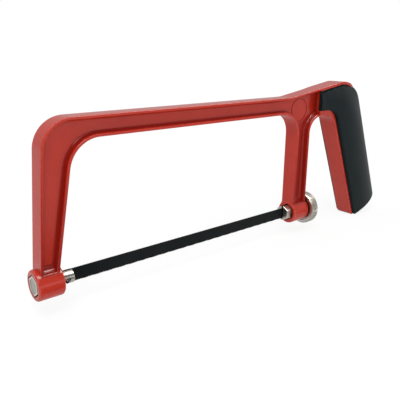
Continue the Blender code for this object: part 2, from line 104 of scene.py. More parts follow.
# Blade and pins
FRONT_PIN_X = 14.7
REAR_PIN_X = 164.7
BLADE_PAST_PIN = 3.0
BLADE_HEIGHT = 6.5
BLADE_THICKNESS = 0.65
TOOTH_PITCH = 0.8
TOOTH_DEPTH = 0.45
TOOTH_TIP = 0.02
TOOTH_SET = 0.14
SET_WAVE = 6.4
# Heights of the blade's rows above its lower edge
BLADE_ROWS = (0.0, TOOTH_DEPTH, 1.2, BLADE_HEIGHT - 0.15, BLADE_HEIGHT)
PIN_DIAMETER = 1.7
PIN_DROP = 0.4
PIN_LENGTH = 5.6
PIN_ROUND = 0.35

# Blade holders
HEAD_ACROSS_FLATS = 8.5
HEAD_FRONT_X = -0.4
HEAD_LENGTH = 6.5
HEAD_TURN = math.radians(-4.6)
HEAD_CHAMFER = 0.2
HEAD_RIM = 0.65
HEAD_LINE = 0.05
HEAD_SINK = 0.15
HEAD_GAP = 0.5
NOSE_DIAMETER = 6.4
NOSE_END_X = 17.8
NOSE_ROUND = 0.35
SLIDER_ACROSS_FLATS = 8.6
SLIDER_FRONT_X = 160.7
SLIDER_END_X = 172.2
SLIDER_CHAMFER = 0.5
STUD_DIAMETER = 5.0
STUD_END_X = 186.9
STUD_PLAIN = 1.0
STUD_TAPER = 0.5
THREAD_PITCH = 0.8
THREAD_DEPTH = 0.38
# One ridge of the thread: (share of the pitch, share of the depth)
THREAD_RIDGE = ((0.45, 1.0), (0.55, 1.0), (0.95, 0.0), (1.05, 0.0))
NOTCH_LEAN = math.radians(30.0)

# Thumb nut
NUT_X = 178.6
NUT_LENGTH = 5.7
NUT_DIAMETER = 20.4
NUT_RIDGES = 80
RIDGE_STEPS = 4
RIDGE_DEPTH = 0.28
NUT_HUB = 4.1
NUT_CHAMFER = 0.7
NUT_FACE_STEP = 0.35
NUT_STEP_SLOPE = 0.3
NUT_RIM_WIDTH = 1.9

# Bosses
BOSS_DIAMETER = 14.4
BOSS_ROUND = 1.0
FRONT_BOSS = (-0.4, 11.9)
REAR_BOSS = (165.0, 178.3)
ROOT_FLARE = 0.9
# Heights of the flare's rows above the boss, from the arm down into the boss
FLARE_ROWS = (ROOT_FLARE + 0.5, ROOT_FLARE, 0.65, 0.42, 0.25, 0.12, 0.03, -0.6)
FLARE_SINK = 0.04
MOUTH_CHAMFER = 0.15
MOUTH_PAST = 0.2

# Bow
BOW_HALF = 4.9
EDGE_ROUND = 0.5
ARM_OUTER_LEAN = math.tan(math.radians(4.9))
ARM_INNER_LEAN = math.tan(math.radians(10.5))
ARM_OUTER_X = 1.25
ARM_INNER_X = 9.35
POST_FRONT_X = 165.4
POST_BACK_X = 176.8
THROAT_Z = 62.6
THROAT_ARM_ROUND = 15.0
THROAT_POST_ROUND = 12.5
BEAM_TOP_Z = 72.3
BOW_ROUND = 14.5
WEB_HALF = 1.6
POST_WEB_TOP = (54.0, 57.5)
POST_WEB_SLANT = 0.4
RECESS_FOOT_Z = -2.0
SCOOP_RADIUS = 3.0
SCOOP_LIP_Z = 5.9
SCOOP_LIP = 0.3
RECESS_END_X = 184.3
RECESS_OVERRUN = 8.0
RECESS_PROUD = 0.05
RIM = 1.15
# Steps from the rim down to the web: (drawn in, sunk)
RECESS_WALL = ((0.10, 0.12), (0.20, 0.28), (0.02, 0.40), (0.23, 1.35), (0.16, 0.50), (0.24, 0.38),
               (0.33, 0.22), (0.42, 0.10))
MEDALLION = Vector((168.9, 64.2))
MEDALLION_RADIUS = 6.85
MEDALLION_LINE = 0.5
MEDALLION_DEPTH = 0.35

# Handle
HANDLE_RAKE = math.radians(23.0)
ACROSS = Vector((math.cos(HANDLE_RAKE), math.sin(HANDLE_RAKE)))
DOWN = Vector((math.sin(HANDLE_RAKE), -math.cos(HANDLE_RAKE)))
HANDLE_START = Vector((196.6, THROAT_Z))
HANDLE_HALF = 5.8
HANDLE_DEPTH = 31.7
HANDLE_LENGTH = 84.3
HANDLE_TOP_Z = 79.65
RISE = Vector((158.0, BEAM_TOP_Z))
RISE_ROUND = 30.0
BROW = Vector((204.5, HANDLE_TOP_Z))
BROW_ROUND = 8.0
HEEL_ROUND = 27.0
BUTT_ROUND = 3.0
ARCH_Z = 59.8
ARCH_POST_ROUND = 10.0
ARCH_HANDLE_ROUND = 11.0
WIDEN_LENGTH = 10.0
WIDEN_STEPS = 6
CORE_HALF = 3.9
CORE_DEPTH = 21.5
TOP_FLANGE = 1.6
SEAT_STEP = 0.2
ARCH_FLANGE = 2.9
FRONT_FLANGE = 1.2
CAP_LENGTH = 19.6
CAP_HALF = 6.1

# Grip
GRIP_HALF = 9.1
GRIP_BELLY = 13.0
PAD_HALF = 6.8
PAD_REACH = 9.0
FLANGE_SIDE_HALF = 5.8
HEEL_EDGE_ROUND = 3.4
UNDER_FLANGE_ROUND = 1.6
SLOT_AT_FRONT = 1.9
SLOT_HALF = 4.7
TAPER_SLOPE = 0.40
TAPER_BLEND = 1.6
BUTT_EDGE_ROUND = 2.2
FRONT_EDGE_ROUND = 0.6
GRIP_EDGE_LOOPS = (0.12, 0.23, 0.35, 0.5, 0.8)
# The grip's grid, measured from the top of the finger face: (way, start, end, step)
GRIP_GRID = ((ACROSS, -14.0, HANDLE_DEPTH, 1.5), (DOWN, -24.0, HANDLE_LENGTH, 3.0))
GRIP_FRONT_DEPTH = 6.0
GRIP_BACK_DEPTH = HANDLE_DEPTH - 8.0
GRIP_TOP_Z = 60.0
FLANGE_TIP_X = 221.0
FLANGE_TIP_EASE = 9.0


# Outlines seen from the side: lists of corners, each (point, radius), running clockwise


def on_handle(across, down):
    """Point at a depth behind the finger face and a distance down the handle."""
    return HANDLE_START + ACROSS * across + DOWN * down


def handle_at_height(across, z):
    start = on_handle(across, 0.0)
    return start + DOWN * ((z - start.y) / DOWN.y)


def arm_sides(z):
    return ARM_OUTER_X + ARM_OUTER_LEAN * z, ARM_INNER_X + ARM_INNER_LEAN * z


def post_sides(z):
    return POST_FRONT_X, POST_BACK_X


def meet(p, along_p, q, along_q):
    """Point where a line through p crosses a line through q."""
    return p + along_p * ((q - p).cross(along_q) / along_p.cross(along_q))


def top_line(below):
    """Rise to the handle (a point and a way), brow and heel, all drawn in by a distance."""
    rise_way = (BROW - RISE).normalized()
    under = Vector((rise_way.y, -rise_way.x)) * below
    level = Vector((BROW.x, HANDLE_TOP_Z - below))
    flat = Vector((1.0, 0.0))
    back = on_handle(HANDLE_DEPTH - below, 0.0)
    brow = meet(RISE + under, rise_way, level, flat)
    heel = meet(level, flat, back, DOWN)
    return RISE + under, rise_way, (brow, BROW_ROUND - below), (heel, HEEL_ROUND - below)


def rise_at(x, below):
    """Point of the rising top line at a given x, drawn in by a distance."""
    start, way = top_line(below)[:2]
    return start + way * ((x - start.x) / way.x)


def corner(x, z, radius=0.0):
    return Vector((x, z)), radius


def bow_top():
    """Front top corner of the bow, and the start of the rise to the handle."""
    return [corner(arm_sides(BEAM_TOP_Z)[0], BEAM_TOP_Z, BOW_ROUND), (RISE, RISE_ROUND)]


def throat():
    return [corner(POST_FRONT_X, THROAT_Z, THROAT_POST_ROUND),
            corner(arm_sides(THROAT_Z)[1], THROAT_Z, THROAT_ARM_ROUND)]


def casting_outline():
    return [
        corner(ARM_OUTER_X, 0.0),
        *bow_top(),
        *top_line(0.0)[2:],
        (on_handle(HANDLE_DEPTH, HANDLE_LENGTH), BUTT_ROUND),
        (on_handle(0.0, HANDLE_LENGTH), BUTT_ROUND),
        (handle_at_height(0.0, ARCH_Z), ARCH_HANDLE_ROUND),
        corner(POST_BACK_X, ARCH_Z, ARCH_POST_ROUND),
        corner(POST_BACK_X, 0.0),
        corner(POST_FRONT_X, 0.0),
        *throat(),
        corner(ARM_INNER_X, 0.0),
    ]


def recess_outline():
    """The bow as far as the handle's core, down to where the arms meet their bosses."""
    end_x = RECESS_END_X + RECESS_OVERRUN
    arm_front, arm_back = arm_sides(RECESS_FOOT_Z)
    return [
        corner(arm_front, RECESS_FOOT_Z),
        *bow_top(),
        (rise_at(end_x, 0.0), 0.0),
        corner(end_x, ARCH_Z),
        corner(POST_BACK_X, ARCH_Z, ARCH_POST_ROUND),
        corner(POST_BACK_X, RECESS_FOOT_Z),
        corner(POST_FRONT_X, RECESS_FOOT_Z),
        *throat(),
        corner(arm_back, RECESS_FOOT_Z),
    ]


def under_lip(below, past_arc):
    """Under the lip that the top flange turns over the heel: heel, inner tip and beyond the tip."""
    reach = HEEL_ROUND * math.tan((math.pi / 2 - HANDLE_RAKE) / 2) + past_arc
    tip = top_line(0.0)[3][0] + DOWN * reach
    return [top_line(below)[3], (tip - ACROSS * below, 0.0), (tip + ACROSS * PAST, 0.0)]


def core_back(clearance):
    """Back edge of the casting's core, from the start of the heel's arc to past the butt."""
    heel, radius = top_line(TOP_FLANGE + SEAT_STEP)[3]
    top = heel - Vector((radius * math.tan((math.pi / 2 - HANDLE_RAKE) / 2) + GAP, 0.0))
    bottom = on_handle(CORE_DEPTH, HANDLE_LENGTH + PAST)
    return top + ACROSS * clearance, bottom + ACROSS * clearance


def grip_outline():
    front = FRONT_FLANGE + GAP
    floor = ARCH_Z + ARCH_FLANGE + GAP
    left_x = RECESS_END_X + GAP
    return [
        corner(left_x, floor),
        (rise_at(left_x, 0.0), 0.0),
        *top_line(0.0)[2:],
        (on_handle(HANDLE_DEPTH, HANDLE_LENGTH), BUTT_ROUND),
        (on_handle(front, HANDLE_LENGTH), BUTT_EDGE_ROUND),
        (handle_at_height(front, floor), ARCH_HANDLE_ROUND - front),
    ]


# Drawing and working the shapes


def verts_of(geometry):
    return [g for g in geometry if isinstance(g, bmesh.types.BMVert)]


def everything(shape):
    return shape.verts[:] + shape.edges[:] + shape.faces[:]


def draw_outline(shape, corners, y):
    """Draws an outline with rounded corners on the plane at y, and returns its face."""
    first = tip = None
    count = len(corners)
    for k, (point, radius) in enumerate(corners):
        u = (point - corners[k - 1][0]).normalized()
        v = (corners[(k + 1) % count][0] - point).normalized()
        turn = math.atan2(u.cross(v), u.dot(v))
        start = point - u * (radius * math.tan(abs(turn) / 2))
        if first is None:
            first = tip = shape.verts.new((start.x, y, start.y))
        else:
            tip = bmesh.ops.extrude_vert_indiv(shape, verts=[tip])["verts"][0]
            tip.co = (start.x, y, start.y)
        if radius > 0.0:
            centre = start + Vector((-u.y, u.x)) * math.copysign(radius, turn)
            steps = max(2, math.ceil(abs(turn) / ARC_STEP))
            spun = bmesh.ops.spin(shape, geom=[tip], cent=(centre.x, y, centre.y), axis=(0, -1, 0),
                                  angle=turn, steps=steps)
            tip = verts_of(spun["geom_last"])[0]
    last = shape.edges.new((tip, first))
    edges, vert = [last], first
    while vert is not tip:
        edge = next(e for e in vert.link_edges if e not in edges[-1:] and e is not last)
        edges.append(edge)
        vert = edge.other_vert(vert)
    return bmesh.ops.contextual_create(shape, geom=edges)["faces"][0]


def push(shape, face, way):
    """Extrudes a face along a way, and returns the face at its end."""
    grown = bmesh.ops.extrude_face_region(shape, geom=[face])["geom"]
    bmesh.ops.translate(shape, vec=way, verts=verts_of(grown))
    return next(g for g in grown if isinstance(g, bmesh.types.BMFace))


def plate(corners, low_y, high_y):
    shape = bmesh.new()
    push(shape, draw_outline(shape, corners, low_y), (0.0, high_y - low_y, 0.0))
    return shape


def sharp(points):
    return [(point, 0.0) for point in points]


def draw_in(shape, face, thickness, depth=0.0):
    """Draws a face in from its edge, and returns the faces of the border."""
    return bmesh.ops.inset_region(shape, faces=[face], use_boundary=True, use_even_offset=True,
                                  thickness=thickness, depth=depth)["faces"]


def part_at(shape, place, normal, geometry=None, clear=False):
    """Parts edges and faces along a plane, and can clear away what lies beyond it."""
    bmesh.ops.bisect_plane(shape, geom=geometry or everything(shape), plane_co=place,
                           plane_no=normal, clear_outer=clear)


def bevel(shape, edges, offset, segments):
    bmesh.ops.bevel(shape, geom=edges, offset=offset, offset_type="OFFSET", segments=segments,
                    profile=0.5, affect="EDGES", material=-1, clamp_overlap=True)


ALONG_BLADE = Matrix(((0, 0, 1, 0), (1, 0, 0, 0), (0, 1, 0, 0), (0, 0, 0, 1)))


def bar(sides, radius, low_x, high_x, turn=0.0, end_radius=None):
    """Bar along the blade's axis, with a corner up before it is turned."""
    shape = bmesh.new()
    middle = Matrix.Translation(((low_x + high_x) / 2, 0.0, 0.0))
    bmesh.ops.create_cone(
        shape, cap_ends=True, cap_tris=False, segments=sides, radius1=radius,
        radius2=radius if end_radius is None else end_radius, depth=high_x - low_x,
        matrix=middle @ Matrix.Rotation(turn, 4, "X") @ ALONG_BLADE)
    return shape


def end_edges(shape, x):
    """Edges that lie in the plane at x."""
    return [e for e in shape.edges if all(abs(v.co.x - x) < WELD for v in e.verts)]


def hexagon(across_flats):
    return across_flats / math.sqrt(3)


def block(low, high):
    shape = bmesh.new()
    size, middle = Vector(high) - Vector(low), (Vector(high) + Vector(low)) / 2
    bmesh.ops.create_cube(shape, size=1.0,
                          matrix=Matrix.Translation(middle) @ Matrix.Diagonal((*size, 1.0)))
    return shape


def add_object(name, data):
    made = bpy.data.objects.new(name, data)
    bpy.context.scene.collection.objects.link(made)
    return made


def mesh_object(name, shape):
    mesh = bpy.data.meshes.new(name)
    shape.to_mesh(mesh)
    shape.free()
    return add_object(name, mesh)


def as_object(name, shape):
    """Welds a shape, turns its faces outwards and makes it an object."""
    bmesh.ops.remove_doubles(shape, verts=shape.verts, dist=WELD)
    bmesh.ops.recalc_face_normals(shape, faces=shape.faces)
    if shape.calc_volume(signed=True) < 0.0:
        bmesh.ops.reverse_faces(shape, faces=shape.faces)
    return mesh_object(name, shape)


CUT, JOIN, KEEP = "DIFFERENCE", "UNION", "INTERSECT"


def worked(body, *steps):
    """Joins tools to a body or cuts them from it, one after another, and keeps the result."""
    tools = []
    for operation, shape in steps:
        drawn = isinstance(shape, bmesh.types.BMesh)
        tool = as_object(f"{body.name}_tool", shape) if drawn else shape
        tools.append(tool)
        step = body.modifiers.new(tool.name, "BOOLEAN")
        step.operation = operation
        step.solver = "EXACT"
        step.object = tool
    bpy.context.view_layer.update()
    result = bpy.data.meshes.new_from_object(
        body.evaluated_get(bpy.context.evaluated_depsgraph_get()))
    body.modifiers.clear()
    spent = [body.data] + [tool.data for tool in tools]
    body.data = result
    for tool in tools:
        bpy.data.objects.remove(tool)
    for mesh in spent:
        bpy.data.meshes.remove(mesh)
    return body


def mark_edges(shape, lowest):
    """Writes two marks from 0 to 1: worn on rounded outer edges (wear and painted highlight), hollow
    on inner curves (painted shade).
    """
    least, most = WORN_BEND
    worn = shape.verts.layers.float.new("worn_and_highlight_edge")
    hollow = shape.verts.layers.float.new("hollow")
    for vert in shape.verts:
        bends = [e.calc_face_angle_signed(0.0) for e in vert.link_edges if e.is_manifold]
        broad = max((f.calc_area() for f in vert.link_faces), default=0.0)
        if least < max(bends, default=0.0) < most and min(bends) > -least and broad < EDGE_FACE:
            vert[worn] = 1.0
        inner = min(bends, default=0.0) < -HOLLOW_BEND and broad < BROAD_FACE
        if inner and vert.normal.z > lowest:
            vert[hollow] = 1.0


def finish_piece(piece, body, node, finish, lowest=ANY_WAY):
    """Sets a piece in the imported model's frame, smooths its shading and has it replace a node."""
    shape = bmesh.new()
    shape.from_mesh(piece.data)
    bmesh.ops.remove_doubles(shape, verts=shape.verts, dist=WELD)
    bmesh.ops.dissolve_degenerate(shape, edges=shape.edges, dist=WELD)
    mark_edges(shape, lowest)
    shape.transform(TO_FRAME)
    shape.to_mesh(piece.data)
    shape.free()
    piece.data.materials.clear()
    piece.data.materials.append(finish)
    piece.data.shade_smooth()
    piece.data.set_sharp_from_angle(angle=SHARP_ANGLE)
    even = piece.modifiers.new("even_shading", "WEIGHTED_NORMAL")
    even.keep_sharp = True
    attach(piece, body)
    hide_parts(node)
    return piece


# The casting


def smooth_share(x, start, end):
    """Share of the way from start to end, eased at both."""
    share = min(max((x - start) / (end - start), 0.0), 1.0)
    return share * share * (3.0 - 2.0 * share)


def rounding(distance, radius):
    """How far a rounded edge falls away at a distance from its outline."""
    rest = min(max(radius - distance, 0.0), radius)
    return radius - math.sqrt(radius * radius - rest * rest)


def casting_blank():
    """The bow's plate with rounded edges, widened towards the handle."""
    shape = plate(casting_outline(), -BOW_HALF, BOW_HALF)
    rims = [e for e in shape.edges if abs(e.verts[0].co.y - e.verts[1].co.y) < WELD]
    bevel(shape, rims, EDGE_ROUND, EDGE_STEPS)
    step = WIDEN_LENGTH / WIDEN_STEPS
    for k in range(WIDEN_STEPS + 1):
        part_at(shape, (POST_BACK_X + k * step, 0, 0), (1, 0, 0))
    for vert in shape.verts:
        along = min(max((vert.co.x - POST_BACK_X) / step, 0.0), WIDEN_STEPS - WELD)
        low = smooth_share(math.floor(along), 0.0, WIDEN_STEPS)
        high = smooth_share(math.floor(along) + 1, 0.0, WIDEN_STEPS)
        share = low + (high - low) * (along - math.floor(along))
        vert.co.y *= 1.0 + share * (HANDLE_HALF / BOW_HALF - 1.0)
    return shape


def recess_cutter(side):
    """One side's recess: straight outside the rim, then rounded over it and down to the web."""
    shape = bmesh.new()
    start, rim_level = HANDLE_HALF + PAST, BOW_HALF + RECESS_PROUD
    region = draw_outline(shape, recess_outline(), side * start)
    bmesh.ops.delete(shape, geom=draw_in(shape, region, RIM), context="FACES")
    face = push(shape, region, (0.0, side * (rim_level - start), 0.0))
    bmesh.ops.recalc_face_normals(shape, faces=shape.faces)
    for drawn_in, sunk in RECESS_WALL:
        draw_in(shape, face, drawn_in, sunk)
    part_at(shape, (RECESS_END_X, 0, 0), (1, 0, 0), clear=True)
    bmesh.ops.holes_fill(shape, edges=[e for e in shape.edges if e.is_boundary])
    return shape


def scoop(side, low_x, high_x):
    """What a recess leaves at its foot: a hollow ramp from the web to a lip over the boss."""
    low_z, lip_z, high_z = RECESS_FOOT_Z - PAST, SCOOP_LIP_Z, SCOOP_LIP_Z + 2 * SCOOP_RADIUS
    under_z = lip_z - ROOT_FLARE - SCOOP_LIP
    shape = plate([
        corner(0.0, low_z), corner(0.0, high_z), corner(WEB_HALF, high_z),
        corner(WEB_HALF, lip_z, SCOOP_RADIUS), corner(BOW_HALF - SCOOP_LIP, lip_z),
        corner(BOW_HALF, lip_z - SCOOP_LIP), corner(BOW_HALF + ROOT_FLARE, under_z),
        corner(FAR, under_z), corner(FAR, low_z),
    ], low_x, high_x)
    for vert in shape.verts:
        vert.co = (vert.co.y, side * vert.co.x, vert.co.z)
    return shape


def recess(side):
    feet = ((ARM_OUTER_X, ARM_INNER_X), (POST_FRONT_X, POST_BACK_X))
    return worked(as_object("recess", recess_cutter(side)),
                  *((CUT, scoop(side, front - 2 * PAST, back + 2 * PAST)) for front, back in feet))


def medallion_line(side):
    """Narrow round groove in the web."""
    shape = bmesh.new()
    x, half = MEDALLION.x + MEDALLION_RADIUS, MEDALLION_LINE / 2
    floor_y, far_y = side * (WEB_HALF - MEDALLION_DEPTH), side * (HANDLE_HALF + PAST)
    ring = [shape.verts.new((x + out, y, MEDALLION.y))
            for out, y in ((-half, floor_y), (half, floor_y), (half, far_y), (-half, far_y))]
    sides = [shape.edges.new((a, b)) for a, b in zip(ring, ring[1:] + ring[:1])]
    bmesh.ops.spin(shape, geom=ring + sides, cent=(MEDALLION.x, 0, MEDALLION.y), axis=(0, 1, 0),
                   angle=math.tau, steps=MEDALLION_SIDES, use_merge=True)
    return shape


def boss(low_x, high_x):
    shape = bar(ROUND_SIDES, BOSS_DIAMETER / 2, low_x, high_x)
    bevel(shape, end_edges(shape, low_x) + end_edges(shape, high_x), BOSS_ROUND, BOSS_STEPS)
    return shape


def root_flare(sides):
    """Flared root where an arm runs into its boss, drawn out as it nears the boss's round."""
    boss_radius = BOSS_DIAMETER / 2
    front, back = sides(boss_radius)
    shape = block((front, -BOW_HALF, FLARE_ROWS[-1]), (back, BOW_HALF, FLARE_ROWS[0]))
    uprights = [e for e in shape.edges if abs(e.verts[0].co.z - e.verts[1].co.z) > WELD]
    bevel(shape, uprights, EDGE_ROUND, EDGE_STEPS)
    for height in FLARE_ROWS[1:-1]:
        part_at(shape, (0, 0, height), (0, 0, 1))
    for vert in shape.verts:
        height = vert.co.z
        out = rounding(height, ROOT_FLARE) - FLARE_SINK
        y = vert.co.y * (1.0 + out / BOW_HALF)
        z = math.sqrt((boss_radius + height) ** 2 - y * y)
        low_x, high_x = sides(z)
        share = (vert.co.x - front) / (back - front)
        vert.co = (low_x + FLARE_SINK + share * (high_x - low_x - 2 * FLARE_SINK), y, z)
    return shape


def grip_pocket(side):
    """One side's seat for the grip, under the top flange and behind the finger face."""
    left_x = RECESS_END_X - FLARE_SINK
    floor = ARCH_Z + ARCH_FLANGE
    bottom = HANDLE_LENGTH + PAST
    corners = [
        corner(left_x, floor),
        (rise_at(left_x, TOP_FLANGE), 0.0),
        top_line(TOP_FLANGE)[2],
        *under_lip(TOP_FLANGE, GAP),
        (on_handle(HANDLE_DEPTH + PAST, bottom), 0.0),
        (on_handle(FRONT_FLANGE, bottom), 0.0),
        (handle_at_height(FRONT_FLANGE, floor), ARCH_HANDLE_ROUND - FRONT_FLANGE),
    ]
    return plate(corners, side * CORE_HALF, side * FAR)


def back_space():
    """What the casting's core leaves to the grip behind it."""
    top, bottom = core_back(0.0)
    corners = [(bottom, 0.0), (top, 0.0), *under_lip(TOP_FLANGE + SEAT_STEP, 2 * GAP),
               (on_handle(HANDLE_DEPTH + PAST, HANDLE_LENGTH + PAST), 0.0)]
    return plate(corners, -CORE_HALF - GAP, CORE_HALF + GAP)


def cap_plan(clearance, beyond, low_z, high_z):
    """Seen from above, what the top flange's round end covers, or what lies beyond it."""
    start_x = handle_at_height(GRIP_BELLY, HANDLE_TOP_Z).x
    shape = bmesh.new()
    tip = shape.verts.new((start_x, 1.0, low_z))
    spun = bmesh.ops.spin(shape, geom=[tip], cent=(start_x, 0, low_z), axis=(0, 0, -1),
                          angle=math.pi, steps=CAP_STEPS)
    last = verts_of(spun["geom_last"])[0]
    bmesh.ops.scale(shape, vec=(CAP_LENGTH + clearance, CAP_HALF + clearance, 1.0),
                    verts=shape.verts, space=Matrix.Translation((-start_x, 0.0, 0.0)))
    far_x = start_x + 2 * HANDLE_DEPTH if beyond else RECESS_END_X - 2 * PAST
    for x, y in ((start_x, -FAR), (far_x, -FAR), (far_x, FAR), (start_x, FAR)):
        last = bmesh.ops.extrude_vert_indiv(shape, verts=[last])["verts"][0]
        last.co = (x, y, low_z)
    shape.edges.new((last, tip))
    face = bmesh.ops.contextual_create(shape, geom=shape.edges[:])["faces"][0]
    push(shape, face, (0.0, 0.0, high_z - low_z))
    return shape


def mouth(sides, radius, x, way, turn=0.0):
    """Chamfer at the mouth of a hole that opens towards way."""
    wide = radius + MOUTH_CHAMFER + MOUTH_PAST
    inside, outside = x - way * MOUTH_CHAMFER, x + way * MOUTH_PAST
    if way > 0:
        return bar(sides, radius, inside, outside, turn, wide)
    return bar(sides, wide, outside, inside, turn, radius)


def on_web(face):
    y = face.calc_center_median().y
    return abs(abs(y) - WEB_HALF) < 10 * WELD and abs(abs(face.normal.y) - 1.0) < 2 * WELD


def part_post_web(casting):
    """Parts the post's narrow web from the beam's, so that it is marked as a hollow by itself and
    gets the painted shade of the hollows.

    The cuts slant, to pass under the web of the arm.
    """
    shape = bmesh.new()
    shape.from_mesh(casting.data)
    for z in POST_WEB_TOP:
        web = [f for f in shape.faces if on_web(f)]
        around = dict.fromkeys(g for f in web for g in (*f.verts, *f.edges))
        part_at(shape, (POST_BACK_X, 0, z), (-POST_WEB_SLANT, 0, 1), web + list(around))
    shape.to_mesh(casting.data)
    shape.free()


def make_casting(paint):
    casting = as_object("bow_casting", casting_blank())
    lip_z = under_lip(TOP_FLANGE, PAST)[1][0].y
    steps = [(JOIN, boss(*FRONT_BOSS)), (JOIN, boss(*REAR_BOSS)),
             (JOIN, root_flare(arm_sides)), (JOIN, root_flare(post_sides))]
    for side in (-1, 1):
        steps += [(CUT, recess(side)), (CUT, medallion_line(side)), (CUT, grip_pocket(side))]
    head_hole = hexagon(HEAD_ACROSS_FLATS + 2 * HEAD_GAP)
    slider_hole = hexagon(SLIDER_ACROSS_FLATS + 2 * GAP)
    nose_hole = NOSE_DIAMETER / 2 + GAP
    stud_hole = STUD_DIAMETER / 2 + GAP
    steps += [
        (CUT, back_space()),
        (CUT, cap_plan(0.0, True, lip_z, HANDLE_TOP_Z + PAST)),
        (CUT, bar(HEX_SIDES, head_hole, -PAST, HEAD_LENGTH + GAP, HEAD_TURN)),
        (CUT, mouth(HEX_SIDES, head_hole, FRONT_BOSS[0], -1, HEAD_TURN)),
        (CUT, bar(ROUND_SIDES, nose_hole, PAST, FRONT_BOSS[1] + PAST)),
        (CUT, mouth(ROUND_SIDES, nose_hole, FRONT_BOSS[1], 1)),
        (CUT, bar(HEX_SIDES, slider_hole, REAR_BOSS[0] - PAST, SLIDER_END_X + GAP)),
        (CUT, mouth(HEX_SIDES, slider_hole, REAR_BOSS[0], -1)),
        (CUT, bar(ROUND_SIDES, stud_hole, REAR_BOSS[0] + PAST, REAR_BOSS[1] + PAST)),
    ]
    worked(casting, *steps)
    part_post_web(casting)
    return finish_piece(casting, "saw_frame", "frame", paint, NOT_UNDERNEATH)


# The grip


def eased_least(a, b, blend):
    """The lesser of two values, eased over where they are close."""
    near = max(blend - abs(a - b), 0.0)
    return min(a, b) - near * near / (4.0 * blend)


def nearest(point, line):
    """Distance from a point to a line of points."""
    least = FAR
    for a, b in zip(line, line[1:]):
        along = b - a
        share = min(max((point - a).dot(along) / along.length_squared, 0.0), 1.0)
        least = min(least, (a + along * share - point).length)
    return least


def grip_half(point, front_line, top_points):
    """Half the grip's thickness at a point of its side view."""
    offset = point - HANDLE_START
    across, down = offset.dot(ACROSS), offset.dot(DOWN)
    if across > GRIP_BELLY:
        share = min((across - GRIP_BELLY) / (HANDLE_DEPTH - GRIP_BELLY), 1.0)
        half = GRIP_HALF * math.sqrt(1.0 - share * share)
    else:
        half = PAD_HALF + (GRIP_HALF - PAD_HALF) * smooth_share(across, -PAD_REACH, GRIP_BELLY)
    below_top = nearest(point, top_points)
    if below_top < HEEL_EDGE_ROUND:
        limit = FLANGE_SIDE_HALF - rounding(below_top, HEEL_EDGE_ROUND)
    else:
        limit = FLANGE_SIDE_HALF + TAPER_SLOPE * (below_top - HEEL_EDGE_ROUND)
    half = eased_least(half, limit, TAPER_BLEND)
    under = 1.0 - smooth_share(point.x, FLANGE_TIP_X - FLANGE_TIP_EASE, FLANGE_TIP_X)
    half -= under * rounding(below_top - TOP_FLANGE - SEAT_STEP, UNDER_FLANGE_ROUND)
    half -= rounding(HANDLE_LENGTH - down, BUTT_EDGE_ROUND)
    half -= rounding(nearest(point, front_line), FRONT_EDGE_ROUND)
    return max(half, 0.0)


def grip_blank():
    """The grip's side view, with loops along its edge and a grid, swelled to its thickness."""
    shape = bmesh.new()
    face = draw_outline(shape, grip_outline(), 0.0)
    rim = [Vector((v.co.x, v.co.z)) for v in face.verts]
    left_x, floor = RECESS_END_X + GAP, ARCH_Z + ARCH_FLANGE + GAP
    rise_z = rise_at(left_x, 0.0).y
    front_line, top_points = [], []
    for point in rim:
        across = (point - HANDLE_START).dot(ACROSS)
        if point.x < left_x + WELD or across < GRIP_FRONT_DEPTH and point.y < floor + WELD:
            front_line.append(point)
        behind = point.y > rise_z - WELD or across > GRIP_BACK_DEPTH
        if behind and point.y > GRIP_TOP_Z and point.x > left_x - WELD:
            top_points.append(point)
    for drawn_in in GRIP_EDGE_LOOPS:
        draw_in(shape, face, drawn_in)
    for way, start, end, step in GRIP_GRID:
        at = start
        while at < end:
            spot = HANDLE_START + way * at
            part_at(shape, (spot.x, 0, spot.y), (way.x, 0, way.y))
            at += step
    near = shape.verts[:]
    far = verts_of(bmesh.ops.extrude_face_region(shape, geom=shape.faces[:])["geom"])
    for verts, side in ((near, -1.0), (far, 1.0)):
        for vert in verts:
            point = Vector((vert.co.x, vert.co.z))
            vert.co.y = side * grip_half(point, front_line, top_points)
    return shape


def grip_core():
    """Space that the casting's core takes inside the grip."""
    top, bottom = core_back(GAP)
    corners = sharp([on_handle(-HANDLE_DEPTH, -HANDLE_LENGTH), top + (top - bottom),
                     bottom + (bottom - top), on_handle(-HANDLE_DEPTH, 2 * HANDLE_LENGTH)])
    return plate(corners, -CORE_HALF - GAP, CORE_HALF + GAP)


def flange_space():
    """Space of the top flange over the grip."""
    below = TOP_FLANGE + SEAT_STEP + CLOSE_FIT
    start_x = RECESS_END_X - PAST
    heel, inner_tip, outer_tip = under_lip(below, 3 * GAP)
    top = HANDLE_TOP_Z + PAST
    corners = [corner(start_x, top), corner(outer_tip[0].x, top), outer_tip, inner_tip, heel,
               top_line(below)[2], (rise_at(start_x, below), 0.0)]
    space = as_object("flange_space", plate(corners, -FAR, FAR))
    return worked(space, (KEEP, cap_plan(GAP, False, 0.0, HANDLE_TOP_Z + 2 * PAST)))


def shoulder_slot(side):
    """Slot along one shoulder of the grip, under the top flange, that closes towards the brow."""
    below = TOP_FLANGE + SEAT_STEP + GAP
    start_x = RECESS_END_X - PAST
    corners = sharp([rise_at(start_x, TOP_FLANGE), rise_at(BROW.x, TOP_FLANGE),
                     rise_at(BROW.x, below), rise_at(start_x, below + SLOT_AT_FRONT)])
    return plate(corners, side * SLOT_HALF, side * FAR)


def make_grip(rubber):
    grip = as_object("rubber_grip", grip_blank())
    worked(grip, (CUT, grip_core()), (CUT, flange_space()), (CUT, shoulder_slot(-1)),
           (CUT, shoulder_slot(1)))
    return finish_piece(grip, "saw_frame", "grip", rubber)


# Blade, holders, pins and nut


